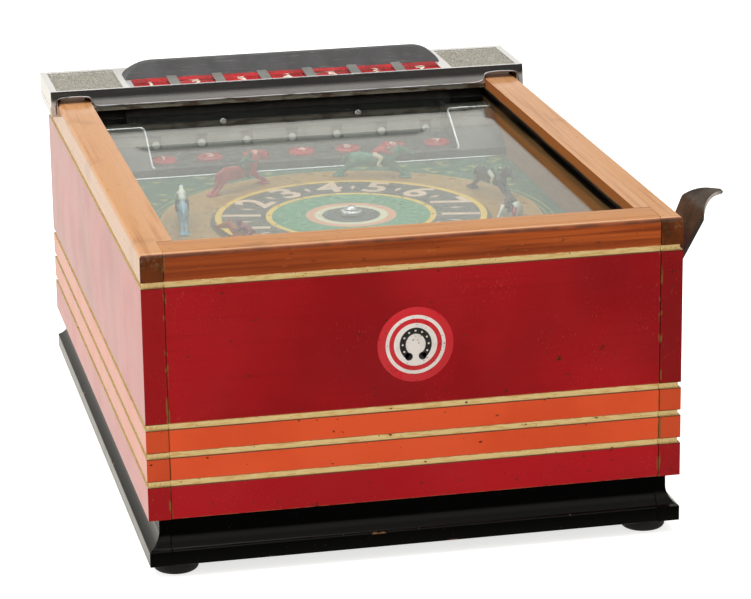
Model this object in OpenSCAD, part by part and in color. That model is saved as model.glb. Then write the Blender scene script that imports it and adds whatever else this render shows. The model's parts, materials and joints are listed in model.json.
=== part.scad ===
// Counter-top horse-race trade stimulator: wooden cabinet with a glazed top,
// a horse wheel spun by a side lever, numbered coin entries and a cash tray.
// Millimetres. The object stands on z = 0 and its front faces -Y.

/* [Cabinet] */
// Outer width of the wooden body
cab_w = 305; // [295:1:330]
// Outer depth of the wooden body
cab_d = 420; // [415:1:450]
// Height of the wooden body
cab_h = 152.5; // [150:0.5:165]
// Thickness of the side boards
side_t = 21.5; // [18:0.5:23]
// Thickness of the front board
front_t = 24; // [20:0.5:28]
// Width of side board end grain showing at the front corners
end_grain_w = 12.7; // [10:0.1:14.5]
// Thickness of the back board
back_t = 15; // [13:0.5:18]
// Thickness of the bottom board
bottom_t = 6; // [4:0.5:9]
// Radius of the top outer edges
edge_r = 3; // [1:0.5:5]

/* [Painted grooves] */
// Width of each groove
groove_w = 3.2; // [2:0.1:5]
// Depth of each groove
groove_depth = 1.4; // [0.8:0.1:2.5]
// Top groove centre below the rail top
groove_drop = 17.7; // [14:0.1:24]
// Lowest groove centre above the body bottom
groove_low = 21; // [12:0.5:30]
// Spacing of the three lower grooves
groove_pitch = 16.45; // [10:0.05:22]

/* [Base] */
// Height of the plinth
plinth_h = 27.4; // [24:0.2:32]
// Thickness of the plinth rails
plinth_t = 32.5; // [29:0.5:38]
// Height of the flat fascia under the cove
fascia_h = 8.5; // [4:0.5:10]
// Inset of the neck above the cove
neck_inset = 6.5; // [3:0.5:8]
// Radius of the cove
cove_r = 12.5; // [9:0.5:14]
// Diameter of the rubber feet
foot_d = 25.5; // [20:0.5:30]
// Height of the rubber feet
foot_h = 7.5; // [7:0.5:14]
// Foot centre inset from the outer faces
foot_inset = 16.8; // [16:0.1:20]

/* [Glass and play board] */
// Glass top below the rail top
glass_drop = 11.6; // [9:0.2:14]
// Thickness of the glass
glass_t = 3; // [2:0.5:4]
// Depth of the glass kerf in the boards
kerf_depth = 5; // [3:0.5:7]
// Height of the glass kerf
kerf_h = 5.9; // [5:0.1:7]
// Glass underside down to the play board
play_depth = 26.9; // [26.5:0.1:34]
// Thickness of the play board
board_t = 5; // [4:0.5:8]
// Width of the cleats under the play board
cleat_w = 12; // [8:1:16]

/* [Horse wheel] */
// Wheel centre behind the front face
wheel_y = 174.5; // [165:0.5:185]
// Radius of the horse wheel
wheel_r = 115.5; // [108:0.5:118]
// Thickness of the horse wheel
wheel_t = 1.6; // [1:0.1:2.5]
// Running gap under the wheel
wheel_gap = 0.7; // [0.5:0.1:2]
// Radius of the fixed centre dial
dial_r = 82; // [60:1:88]
// Thickness of the fixed centre dial
dial_t = 1.2; // [0.8:0.1:2]
// Gap between wheel and dial
dial_gap = 1.4; // [1.2:0.1:2.5]
// Radius of the spindle post
post_r = 4; // [3.5:0.1:5]
// Radius of the hub sleeve
sleeve_r = 9; // [8:0.1:10]
// Radius of the hub flange
hub_r = 25; // [22:0.5:27]
// Number of horses
horse_n = 7; // [7]
// Radius of the ring that the horses stand on
horse_ring_r = 101; // [98:0.5:104]
// Angle of the first horse from the +X direction
horse_a0 = 19.3; // [0:0.1:51]
// Distance between a horse's two foot pads
pad_gap = 42; // [38:0.5:46]
// Height of a horse with its rider
horse_h = 22.4; // [20:0.1:24]

/* [Drive] */
// Gear module of the rack and pinion
gear_m = 1.5; // [1.5]
// Teeth on the pinion
pinion_teeth = 26; // [26:1:30]
// Backlash on each flank
backlash = 0.12; // [0.08:0.01:0.25]
// Height of the rack bar
rack_h = 6; // [5:0.5:8]
// Depth of the rack bar behind its teeth
rack_w = 7; // [6:0.5:9]
// Rack underside below the play board
rack_drop = 13.4; // [12:0.1:18]
// Radius of the rock shaft
shaft_r = 4; // [3:0.25:5]
// Shaft centre in from the right inner wall
shaft_in = 19; // [18:0.5:24]
// Shaft centre below the play board
shaft_drop = 36.9; // [36:0.1:42]
// Radius of the drive arm to its pin
drive_r = 28; // [26:0.5:29]
// Radius of the release arm to its pin
release_r = 26; // [25:0.5:27]
// Full swing of the play lever in degrees
lever_swing = 36; // [30:1:36]
// Radius of the arm pins
pin_r = 2.5; // [2:0.1:3]
// Clearance of a pin in its slot
pin_gap = 0.5; // [0.4:0.05:0.8]
// Radial clearance of a running fit
run_fit = 0.05; // [0.02:0.01:0.1]
// Clearance of a sliding bar in its guide
slide_gap = 0.2; // [0.1:0.05:0.4]

/* [Play lever] */
// Thickness of the lever strip
lever_t = 2.2; // [2:0.1:3.5]
// Lever centre behind the front face
lever_y = 59; // [54:1:70]
// Width of the lever arm through the wall
lever_arm_w = 26; // [20:1:30]
// Width of the thumb paddle
paddle_w = 41; // [36:1:50]
// Lever strip's stand-off from the side wall
lever_out = 4; // [3.5:0.5:8]
// Lean of the strip from vertical in degrees
lever_lean = 25; // [20:1:35]
// Length of the leaning strip
strip_l = 50.5; // [42:0.5:54]
// Radius of the thumb lip's curl
lip_r = 12.2; // [10:0.1:16]
// Length of the thumb lip's flat tongue
lip_l = 4.5; // [4:0.5:10]
// Length of the straight edge over which the lip starts to taper
taper_run = 2; // [1:0.5:6]
// Half width of the tongue's tip
tip_hw = 1.6; // [1:0.1:4]

/* [Coin head] */
// Rise of the coin head over the rail top
head_rise = 8.2; // [7:0.1:11]
// Overhang of the head beyond the body faces
head_over = 4.2; // [3.6:0.1:6]
// Depth of the head over the body
head_depth = 58; // [56:0.5:60]
// Drop of the head's skirt below the rail top
skirt_drop = 7.8; // [6:0.1:9]
// Thickness of the head's top plate
head_plate_t = 4; // [3.4:0.1:4.5]
// Number of coin entries
slot_n = 7; // [7]
// Spacing of the coin entries
slot_pitch = 30; // [29:0.5:30]
// Width of a coin channel
coin_w = 24; // [22:0.5:24]
// Thickness of a coin channel
coin_t = 3.2; // [2.4:0.1:3.6]
// Lean of the coin chutes from vertical in degrees
chute_lean = 25; // [23:0.5:26]
// Thickness of the chute plates
chute_t = 1.5; // [1:0.1:2]
// Depth of the chutes' foot in front of the cabinet's back
chute_in = 62; // [61:0.5:63]
// Height of the coin ledge over the play board
ledge_h = 6; // [5:0.5:8]
// Depth of the coin ledge
ledge_d = 51; // [47:0.5:54]
// Height of the coin hood
hood_h = 10.8; // [10.2:0.1:16]
// Diameter of the numbered discs
disc_d = 17; // [13:0.5:20]

/* [Cash tray and door] */
// Half width of the cash tray
tray_hw = 95; // [80:1:98]
// Depth of the cash tray
tray_d = 102; // [90:1:105]
// Height of the cash tray
tray_h = 46; // [30:1:50]
// Half width of the back door opening
door_hw = 85; // [75:1:95]
// Height of the back door opening
door_h = 62; // [58:1:75]
// Opening's sill above the body bottom
door_sill = 12; // [10:1:18]
// Thickness of the back door
door_t = 12; // [9:0.5:13]
// Gap round the back door
door_gap = 0.6; // [0.4:0.1:1]

/* [Hidden] */
$fn = 48;
HORSES = [for (i = [1 : horse_n]) str("horse_", i)];

// Small overshoot of a cutting tool past a face
cut = 1;
// Clearance of a screw or rivet in its hole, and of a part seated beside another
seat = 0.05;
// Clearance of a loose panel between the cabinet walls
loose = 0.3;

// Cabinet levels and faces
body_z = foot_h + plinth_h;
rail_z = body_z + cab_h;
half_w = cab_w / 2;
in_hw = half_w - side_t;
back_in = cab_d - back_t;
groove_zs = concat([rail_z - groove_drop],
    [for (i = [0 : 2]) body_z + groove_low + i * groove_pitch]);
cove_drop = sqrt(cove_r * cove_r - pow(cove_r - neck_inset, 2));
front_hw = half_w - end_grain_w;

// Glass, play board and wheel levels
glass_top = rail_z - glass_drop;
glass_bot = glass_top - glass_t;
board_top = glass_bot - play_depth;
board_bot = board_top - board_t;
wheel_bot = board_top + wheel_gap;
wheel_top = wheel_bot + wheel_t;
dial_bot = wheel_top + dial_gap;
dial_top = dial_bot + dial_t;
hub_flange_t = 3;
hub_hole_gap = 3;

// Coin chutes: their foot line is the back edge of the coin ledge
chute_y = cab_d - chute_in;
ledge_z = board_top + ledge_h;
ledge_front = chute_y - ledge_d;
head_front = cab_d - head_depth;
head_back = cab_d + head_over;
head_top = rail_z + head_rise;
head_bot = rail_z - skirt_drop;
head_hw = half_w + head_over;
head_wall = 4;
plate_under = head_top - head_plate_t;
chute_n1 = chute_t + coin_t;
chute_n2 = chute_n1 + chute_t;
chute_low = -4.2;
chute_up = (plate_under - loose - ledge_z) / cos(chute_lean);
slot_xs = [for (i = [0 : slot_n - 1]) (i - (slot_n - 1) / 2) * slot_pitch];
rib_xs = [for (i = [0 : slot_n]) (i - slot_n / 2) * slot_pitch];
rib_w = slot_pitch - coin_w;
chute_hw = slot_n * slot_pitch / 2 + rib_w / 2;
// Where the chute's front face comes through the head's top
slot_y = chute_y + (head_top - ledge_z) * tan(chute_lean);

// Rack and pinion
pitch_r = gear_m * pinion_teeth / 2;
base_r = pitch_r * cos(20);
tip_r = pitch_r + gear_m;
root_r = pitch_r - 1.25 * gear_m;
rack_p = PI * gear_m;
rack_z = board_bot - rack_drop;
rack_y0 = wheel_y + pitch_r + 1.25 * gear_m;
rack_y1 = rack_y0 + rack_w;
rack_mid_y = (rack_y0 + rack_y1) / 2;
rack_mid_z = rack_z + rack_h / 2;
web_t = 3;
gear_z = rack_z - 0.5;
gear_top = rack_z + rack_h + 0.5;
web_z = gear_z - web_t;
base_top = web_z - 10;
base_t = 4;
washer_t = 2;
hub_bot = base_top + washer_t + 0.1;
roller_r = 1.9;
roller_ring_r = sleeve_r + roller_r + 0.35;
race_r = roller_ring_r + roller_r + seat;
cover_t = 2;

// Rock shaft, arms and lever
shaft_x = in_hw - shaft_in;
shaft_z = board_bot - shaft_drop;
swing2 = lever_swing / 2;
release_travel = 2 * release_r * sin(swing2);
drive_pin_x = shaft_x - drive_r * sin(swing2);
release_pin_x = shaft_x - release_r * sin(swing2);
arm_t = 4;
arm_hub_r = shaft_r + 4;
arm_w = 8;
drive_arm_y = rack_y1 + 2.2;
release_tail_y = chute_y - 1;
tail_t = 3;
release_arm_y = release_tail_y + tail_t + 2;
shaft_y0 = lever_y - lever_arm_w / 2 - 12;
shaft_y1 = release_arm_y + arm_t + 5;
slot_hw = pin_r + pin_gap;
guide_l = 12;
guide_wall = 3;
guide_xs = [38, -48];
rack_x0 = -95;
cap_t = 3;
spring_r = 6;
wire_r = 0.7;
bearing_l = 10;
lever_to_bearing = 28;
bearing_to_tail = 17;
bearing_ys = [lever_y + lever_to_bearing, release_tail_y - bearing_to_tail];
bearing_base_t = 3;
bearing_hh = 7;
bearing_ear = 7;
bearing_up = 20;
bearing_down = 21;
lever_x = half_w + lever_out;

// Points of the lever strip in the X-Z plane, from the shaft to the lip
lever_rise = 27;
strip_foot = [lever_x, shaft_z + lever_rise];
strip_top = strip_foot + strip_l * [sin(lever_lean), cos(lever_lean)];
lip_sweep = 90 - lever_lean;
lip_arc = lip_r * lip_sweep * PI / 180;
function lip_point(a) = strip_top + lip_r * [cos(lever_lean) - cos(a), sin(a) - sin(lever_lean)];
lip_steps = 8;
lever_tip = lip_point(90) + [lip_l, 0];
lever_path = concat([[shaft_x, shaft_z], [lever_x, shaft_z], strip_foot, strip_top],
    [for (i = [1 : lip_steps]) lip_point(lever_lean + lip_sweep * i / lip_steps)], [lever_tip]);
lever_top_z = lever_tip[1] + lever_t;

// Plan outline of the tapering lip: half width at a length along the strip from the curl's foot
taper_l = taper_run + lip_arc + lip_l + lever_t / 2;
taper_power = 1.2;
taper_steps = 14;
function lip_x(s) = s < 0 ? strip_top[0] + s * sin(lever_lean)
    : s < lip_arc ? lip_point(lever_lean + lip_sweep * s / lip_arc)[0]
    : lip_point(90)[0] + s - lip_arc;
function taper_hw(i) = tip_hw + (paddle_w / 2 - tip_hw) * pow(1 - i / taper_steps, taper_power);
taper_edge = [for (i = [0 : taper_steps]) [lip_x(taper_l * i / taper_steps - taper_run), taper_hw(i)]];

// Back door, its hinge line and its lock
door_z = body_z + door_sill;
hinge_r = 3;
hinge_pin_r = 1.5;
leaf_t = 1.4;
hinge_y = cab_d + hinge_r + 0.2;
hinge_l = 24;
hinge_zs = [door_z + 16, door_z + door_h - 16];
leaf_w = 20;
lock_x = door_hw - 15;
lock_z = door_z + door_h / 2;
lock_r = 8.5;
plug_r = 6;
cam_l = 22;
cam_t = 2;

// The origin is under the middle of the object's box
row_x = (lever_tip[0] + lever_t / 2 - head_hw) / 2;
screw_head_h = 2.4;
row_y = max(hinge_y + hinge_r, head_back + screw_head_h) / 2;

// Shared helpers

module row_frame() {
    translate([-row_x, -row_y, 0]) children();
}

module box(x0, x1, y0, y1, z0, z1) {
    translate([x0, y0, z0]) cube([x1 - x0, y1 - y0, z1 - z0]);
}

module x_rod(y, z, x0, x1, r) {
    translate([x0, y, z]) rotate([0, 90, 0]) cylinder(r = r, h = x1 - x0);
}

module y_rod(x, z, y0, y1, r) {
    translate([x, y0, z]) rotate([-90, 0, 0]) cylinder(r = r, h = y1 - y0);
}

module z_rod(x, y, z0, z1, r) {
    translate([x, y, z0]) cylinder(r = r, h = z1 - z0);
}

module along_x(x0, x1) {
    translate([x0, 0, 0]) rotate([90, 0, 90]) linear_extrude(x1 - x0) children();
}

module along_y(y0, y1) {
    translate([0, y1, 0]) rotate([90, 0, 0]) linear_extrude(y1 - y0) children();
}

module both_sides() {
    children();
    mirror([1, 0, 0]) children();
}

// Chute frame: x across, y along the chute's normal, z up along the chute
module chute_frame() {
    translate([0, chute_y, ledge_z]) rotate([-chute_lean, 0, 0]) children();
}

module stroke(p, q, w) {
    d = q - p;
    translate(p) rotate(atan2(d[1], d[0])) translate([0, -w / 2]) square([norm(d), w]);
    translate(q) circle(w / 2);
}

module rounded_disc(r, h, e) {
    rotate_extrude() {
        square([r - e, h]);
        translate([0, e]) square([r, h - e]);
        translate([r - e, e]) circle(e);
    }
}

// Pan-head screw pointing down, its head standing on z = 0
module screw(l, r = 2, head_r = 4, head_h = screw_head_h) {
    translate([0, 0, -l]) cylinder(r = r, h = l);
    cylinder(r1 = head_r, r2 = head_r * 0.7, h = head_h);
}

module screw_hole(l, r = 2) {
    translate([0, 0, -l - seat]) cylinder(r = r + seat, h = l + seat + cut);
}

// Places of the wood screws

foot_seat = 4;
foot_screw_l = 18;
bottom_screw_l = bottom_t + 12;
head_screw_l = head_over + 9;
bracket_screw_l = 6;
wall_screw_l = 13;
ear_w = 12;
ear_ss = [8, 32];

module at_feet() {
    for (x = [-1, 1], y = [foot_inset, cab_d - foot_inset])
        translate([x * (half_w - foot_inset), y, 0]) children();
}

module at_foot_screws() {
    at_feet() translate([0, 0, foot_seat]) rotate([180, 0, 0]) children();
}

module at_bottom_screws() {
    for (x = [-1, 1], y = [0.2, 0.5, 0.8])
        translate([x * (in_hw - 5.5), y * cab_d, body_z + bottom_t]) children();
}

head_screw_pitch = 73;

module at_head_screws() {
    for (k = [-1.5 : 1 : 1.5])
        translate([k * head_screw_pitch, head_back, (rail_z + head_bot) / 2])
            rotate([-90, 0, 0]) children();
}

module at_bracket_screws() {
    for (x = [-14, 14], y = [-bracket_y - 8, bracket_y + 8])
        translate([x, wheel_y + y, board_bot - bracket_t]) rotate([180, 0, 0]) children();
}

module at_bearing_screws() {
    for (y = bearing_ys, z = [-15, 15])
        translate([in_hw - bearing_base_t, y + bearing_l / 2, shaft_z + z])
            rotate([0, -90, 0]) children();
}

module at_ear_screws() {
    both_sides() chute_frame() for (s = ear_ss)
        translate([in_hw - chute_t, chute_n2 + ear_w / 2, s]) rotate([0, -90, 0]) children();
}

// Cabinet

module round_edge_y(x, z) {
    difference() {
        box(x - edge_r, x + cut, -cut, cab_d + cut, z - edge_r, z + cut);
        y_rod(x - edge_r, z - edge_r, -2 * cut, cab_d + 2 * cut, edge_r);
    }
}

module round_edge_x(z) {
    difference() {
        box(-half_w - cut, half_w + cut, -cut, edge_r, z - edge_r, z + cut);
        x_rod(edge_r, z - edge_r, -half_w - 2 * cut, half_w + 2 * cut, edge_r);
    }
}

module front_grooves() {
    for (z = groove_zs)
        box(-half_w - cut, half_w + cut, -cut, groove_depth, z - groove_w / 2, z + groove_w / 2);
}

module side_board() {
    difference() {
        box(in_hw, half_w, 0, cab_d, body_z, rail_z);
        box(in_hw - cut, front_hw, -cut, front_t, body_z - cut, rail_z + cut);
        box(in_hw - cut, in_hw + kerf_depth, -cut, cab_d + cut, glass_bot, glass_bot + kerf_h);
        for (z = groove_zs)
            box(half_w - groove_depth, half_w + cut, -cut, cab_d + cut,
                z - groove_w / 2, z + groove_w / 2);
        front_grooves();
        round_edge_y(half_w, rail_z);
        round_edge_x(rail_z);
        at_ear_screws() screw_hole(wall_screw_l);
    }
}

// Slot for the lever's arm, from its rest height down to its pressed height
lever_slot_gap = 2;
lever_slot_top = shaft_z + lever_t / 2 + lever_slot_gap;
lever_slot_bot = shaft_z - (lever_x - shaft_x) * sin(lever_swing) - lever_t - lever_slot_gap;

module side_board_right() {
    color("firebrick") row_frame() difference() {
        side_board();
        box(in_hw - cut, half_w + cut, lever_y - lever_arm_w / 2 - lever_slot_gap,
            lever_y + lever_arm_w / 2 + lever_slot_gap, lever_slot_bot, lever_slot_top);
        at_bearing_screws() screw_hole(wall_screw_l);
    }
}

module side_board_left() {
    color("firebrick") row_frame() mirror([1, 0, 0]) side_board();
}

module front_board() {
    color("firebrick") row_frame() difference() {
        box(-front_hw, front_hw, 0, front_t, body_z, rail_z);
        box(-in_hw - kerf_depth, in_hw + kerf_depth, front_t - kerf_depth, front_t + cut,
            glass_bot, glass_bot + kerf_h);
        front_grooves();
        round_edge_x(rail_z);
    }
}

module back_board() {
    color("saddlebrown") row_frame() difference() {
        box(-in_hw, in_hw, back_in, cab_d, body_z, rail_z);
        box(-door_hw, door_hw, back_in - cut, cab_d + cut, door_z, door_z + door_h);
        at_head_screws() screw_hole(head_screw_l);
    }
}

module bottom_board() {
    color("peru") row_frame() difference() {
        box(-in_hw + loose, in_hw - loose, front_t + loose, back_in - loose,
            body_z, body_z + bottom_t);
        at_bottom_screws() screw_hole(bottom_screw_l);
    }
}

// Plinth

module plinth_section(w) {
    neck_z = fascia_h + cove_drop;
    difference() {
        square([w, plinth_h]);
        for (x = [neck_inset - cove_r, w - neck_inset + cove_r])
            translate([x, neck_z]) circle(cove_r);
        for (x = [-cut, w - neck_inset])
            translate([x, neck_z]) square([neck_inset + cut, plinth_h]);
    }
}

module plinth_form() {
    translate([0, 0, foot_h]) intersection() {
        along_y(0, cab_d) translate([-half_w, 0]) plinth_section(cab_w);
        along_x(-half_w, half_w) plinth_section(cab_d);
    }
}

module plinth_screw_holes() {
    at_foot_screws() screw_hole(foot_screw_l);
    at_bottom_screws() screw_hole(bottom_screw_l);
}

module plinth_cross_zone(y0) {
    box(-front_hw, front_hw, y0, y0 + plinth_t, foot_h - cut, body_z + cut);
}

module plinth_front() {
    color("black") row_frame() difference() {
        intersection() {
            plinth_form();
            plinth_cross_zone(0);
        }
        plinth_screw_holes();
    }
}

module plinth_back() {
    color("black") row_frame() difference() {
        intersection() {
            plinth_form();
            plinth_cross_zone(cab_d - plinth_t);
        }
        plinth_screw_holes();
    }
}

module plinth_side() {
    difference() {
        intersection() {
            plinth_form();
            box(half_w - plinth_t, half_w, 0, cab_d, foot_h - cut, body_z + cut);
        }
        plinth_cross_zone(0);
        plinth_cross_zone(cab_d - plinth_t);
        plinth_screw_holes();
    }
}

module plinth_right() {
    color("black") row_frame() plinth_side();
}

module plinth_left() {
    color("black") row_frame() mirror([1, 0, 0]) plinth_side();
}

module rubber_feet() {
    color("dimgray") row_frame() at_feet() difference() {
        rounded_disc(foot_d / 2, foot_h, 2.5);
        translate([0, 0, -cut]) cylinder(r = 5.2, h = foot_seat + cut);
        cylinder(r = 2 + seat, h = foot_h + cut);
    }
}

module wood_screws() {
    color("gray") row_frame() {
        at_foot_screws() screw(foot_screw_l);
        at_bottom_screws() screw(bottom_screw_l);
        at_head_screws() screw(head_screw_l);
        at_bracket_screws() screw(bracket_screw_l);
        at_bearing_screws() screw(wall_screw_l);
        at_ear_screws() screw(wall_screw_l);
    }
}

// Glass, play board and the cleats that carry it

glass_back = chute_y + (glass_bot - ledge_z) * tan(chute_lean) - 1;
board_back = chute_y - 13;

module glass_pane() {
    color("lightcyan", 0.4) row_frame()
        box(-in_hw - kerf_depth + loose, in_hw + kerf_depth - loose,
            front_t - kerf_depth + loose, glass_back, glass_bot, glass_top);
}

module play_board() {
    color("darkgreen") row_frame() difference() {
        box(-in_hw + loose, in_hw - loose, front_t + loose, board_back, board_bot, board_top);
        z_rod(0, wheel_y, board_bot - cut, board_top + cut, hub_r + hub_hole_gap);
        at_bracket_screws() screw_hole(bracket_screw_l);
    }
}

module board_cleats() {
    low = board_bot - cleat_w;
    gap_y0 = rack_y0 - 14;
    gap_y1 = drive_arm_y + arm_t + 14;
    rear_y0 = board_back - 16;
    side_y0 = front_t + cleat_w + loose;
    color("burlywood") row_frame() {
        box(-in_hw, cleat_w - in_hw, side_y0, rear_y0 - loose, low, board_bot);
        box(in_hw - cleat_w, in_hw, side_y0, gap_y0, low, board_bot);
        box(in_hw - cleat_w, in_hw, gap_y1, rear_y0 - loose, low, board_bot);
        box(-in_hw, in_hw, front_t, front_t + cleat_w, low, board_bot);
        box(-in_hw, in_hw, rear_y0, board_back, low, board_bot);
    }
}

// Coin head with its hood and numbered inserts

bay_in = 4.5;
bay_gap = 0.4;
bay_y0 = head_front + bay_in;
bay_y1 = slot_y - bay_gap;
bay_sink = 2.2;
insert_t = 1.2;
hood_hw = slot_n * slot_pitch / 2 + 0.3;
hood_y = slot_y + chute_n2 / cos(chute_lean) + 0.2;
hood_lean = 7.5;
hood_top_t = 3.5;
hood_foot_t = 19;
hood_corner_w = 18;
hood_corner_steps = 9;
hood_corner_power = 0.75;
// One end of the hood seen from the front, from its foot to its top
hood_end = [for (i = [0 : hood_corner_steps]) let (a = 90 * i / hood_corner_steps)
    [hood_hw - hood_corner_w * pow(1 - cos(a), hood_corner_power), head_top + hood_h * sin(a)]];
panel_sink = 1.2;
panel_rim = 4.5;
notch_r = 4;
notch_under = 0.3;
notch_side_gap = 0.4;
notch_hw = in_hw - notch_side_gap;
// The front wall has a lip in front of a lower flange
lip_rise = 4.8;
lip_set = 2;
flange_rise = 1.8;
// Pads under the head's plate, which rest on the rails
pad_inset = 3;
pad_w = side_t - 2 * pad_inset;
pad_l = 12;
pad_ys = [head_front + 10, cab_d - 20];
slot_under = 4;
slot_over = 16;
panel_to_hood = 4;

module rail_notch() {
    w = half_w - notch_hw;
    h = plate_under - notch_under - head_bot + cut;
    along_y(head_front - cut, head_front + head_wall + cut) translate([notch_hw, head_bot - cut]) {
        square([w, h - notch_r]);
        translate([notch_r, 0]) square([w - notch_r, h]);
        translate([notch_r, h - notch_r]) circle(notch_r);
    }
}

module under_front_wall() {
    box(-notch_hw - cut, notch_hw + cut, head_front - cut, head_front + lip_set,
        head_bot - cut, head_bot + lip_rise);
    box(-notch_hw - cut, notch_hw + cut, head_front + lip_set - cut, head_front + head_wall + cut,
        head_bot - cut, head_bot + flange_rise);
}

module coin_head() {
    color("silver") row_frame() {
        difference() {
            box(-head_hw, head_hw, head_front, head_back, head_bot, head_top);
            box(-half_w, half_w, head_front + head_wall, cab_d, head_bot - cut, plate_under);
            both_sides() rail_notch();
            under_front_wall();
            both_sides() box(hood_hw + panel_to_hood, half_w, head_front + panel_rim, head_back - panel_rim,
                head_top - panel_sink, head_top + cut);
            for (x = slot_xs)
                box(x - coin_w / 2, x + coin_w / 2, bay_y0, bay_y1,
                    head_top - bay_sink, head_top + cut);
            chute_frame() for (x = slot_xs)
                box(x - coin_w / 2, x + coin_w / 2, chute_t, chute_n1,
                    chute_up - slot_under, chute_up + slot_over);
            at_head_screws() screw_hole(head_screw_l);
        }
        both_sides() for (y = pad_ys)
            box(in_hw + pad_inset, in_hw + pad_inset + pad_w, y, y + pad_l, rail_z, plate_under);
    }
}

module coin_hood() {
    wall = 2.4;
    color("dimgray") row_frame() difference() {
        intersection() {
            along_x(-hood_hw, hood_hw) polygon([[hood_y, head_top],
                [hood_y + hood_lean, head_top + hood_h],
                [hood_y + hood_lean + hood_top_t, head_top + hood_h],
                [hood_y + hood_foot_t, head_top]]);
            along_y(hood_y - cut, hood_y + hood_foot_t + cut) polygon(concat(hood_end,
                [for (i = [hood_corner_steps : -1 : 0]) [-hood_end[i][0], hood_end[i][1]]]));
        }
        along_x(-hood_hw + hood_corner_w, hood_hw - hood_corner_w)
            polygon([[hood_y + wall, head_top - cut],
                [hood_y + hood_lean + wall / 2, head_top + hood_h - wall],
                [hood_y + hood_lean + hood_top_t - wall / 2, head_top + hood_h - wall],
                [hood_y + hood_foot_t - wall * 1.6, head_top - cut]]);
    }
}

module slot_inserts() {
    color("crimson") row_frame() for (x = slot_xs)
        box(x - coin_w / 2 + seat, x + coin_w / 2 - seat, bay_y0 + seat, bay_y1 - seat,
            head_top - bay_sink, head_top - bay_sink + insert_t);
}

// Coin apron: ledge, sloping wings and front skirt in one casting

apron_hw = slot_n * slot_pitch / 2 - 5;
apron_t = 2.5;
wing_d = 36;
wing_h = glass_bot - ledge_z - 2;
bead_r = 1.1;
ledge_t = 2;
flange_back = chute_y;
// Edge of the casting beside the chute plate, at height z over the ledge
function ledge_back(z) = chute_y + z * tan(chute_lean) - seat;

module apron_wing() {
    y0 = ledge_front;
    along_x(apron_hw, in_hw - loose) polygon([[y0, board_top], [y0, ledge_z],
        [y0 + wing_d, ledge_z + wing_h], [flange_back, ledge_z + wing_h],
        [flange_back, ledge_z + wing_h - apron_t],
        [y0 + wing_d + 1, ledge_z + wing_h - apron_t], [y0 + apron_t, ledge_z - 1.2],
        [y0 + apron_t, board_top]]);
    along_x(apron_hw, apron_hw + 2) polygon([[y0, ledge_z - ledge_t], [y0, ledge_z],
        [y0 + wing_d, ledge_z + wing_h], [ledge_back(wing_h), ledge_z + wing_h],
        [ledge_back(-ledge_t), ledge_z - ledge_t]]);
}

module coin_apron() {
    y0 = ledge_front;
    color("lightgray") row_frame() {
        both_sides() apron_wing();
        box(-apron_hw - 1, apron_hw + 1, y0, y0 + apron_t, board_top, ledge_z);
        along_x(-apron_hw - 1, apron_hw + 1) polygon([[y0 + cut, ledge_z - ledge_t],
            [y0 + cut, ledge_z], [ledge_back(0), ledge_z], [ledge_back(-ledge_t), ledge_z - ledge_t]]);
        x_rod(y0 + bead_r, ledge_z, -apron_hw, apron_hw, bead_r);
    }
}

disc_off = 22;

module number_discs() {
    rim = disc_d / 2;
    color("crimson") row_frame() for (x = slot_xs)
        translate([x, ledge_front + disc_off, ledge_z]) rotate_extrude()
            polygon([[0, 0], [rim, 0], [rim, 0.8], [rim * 0.86, 1.5], [rim * 0.5, 2.1], [0, 2.3]]);
}

// Coin chutes

window_w = 7.6;
window_s0 = 0.7;
window_s1 = 9.4;
chute_screw_s = 16.3;
chute_screw_xs = [rib_xs[2], rib_xs[5]];
chute_screw_r = 1.5;

module chute_screw_holes() {
    for (x = chute_screw_xs)
        translate([x, -cut, chute_screw_s]) rotate([-90, 0, 0])
            cylinder(r = chute_screw_r + seat, h = chute_n2 + 2 * cut);
}

module chute_plate() {
    color("lightgray") row_frame() chute_frame() difference() {
        box(-chute_hw, chute_hw, 0, chute_t, chute_low, chute_up);
        for (x = slot_xs)
            box(x - window_w / 2, x + window_w / 2, -cut, chute_t + cut, window_s0, window_s1);
        chute_screw_holes();
    }
}

module chute_ribs() {
    color("gray") row_frame() chute_frame() difference() {
        for (x = rib_xs)
            box(x - rib_w / 2, x + rib_w / 2, chute_t, chute_n1, chute_low, chute_up);
        chute_screw_holes();
    }
}

module chute_back() {
    color("lightgray") row_frame() chute_frame() difference() {
        union() {
            box(-in_hw, in_hw, chute_n1, chute_n2, chute_low, chute_up - 4);
            both_sides() box(in_hw - chute_t, in_hw, chute_n1, chute_n2 + ear_w,
                chute_low + 4, chute_up - 4);
        }
        chute_screw_holes();
        both_sides() for (s = ear_ss) translate([in_hw - chute_t, chute_n2 + ear_w / 2, s])
            rotate([0, -90, 0]) screw_hole(wall_screw_l);
    }
}

module chute_screws() {
    color("silver") row_frame() chute_frame() for (x = chute_screw_xs)
        translate([x, 0, chute_screw_s]) {
            rotate([-90, 0, 0]) cylinder(r = chute_screw_r, h = chute_n2 + 3.5);
            rotate([90, 0, 0]) rotate_extrude()
                polygon([[0, 0], [3, 0], [2.8, 0.8], [2, 1.7], [0, 2.1]]);
            translate([0, chute_n2, 0]) rotate([-90, 0, 0]) cylinder(r = 3, h = 2.4, $fn = 6);
        }
}

// Release bar under the chutes

bar_n0 = -0.5;
bar_n1 = chute_n2 + 0.8;
bar_t = 2;
bar_top = chute_low - loose;
bar_bot = bar_top - bar_t;
bar_tail = 8;
bar_x1 = release_pin_x + bar_tail;
bar_x0 = -chute_hw - 5;
release_guide_x = slot_pitch * 2.5;
release_guide_w = 8;

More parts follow.
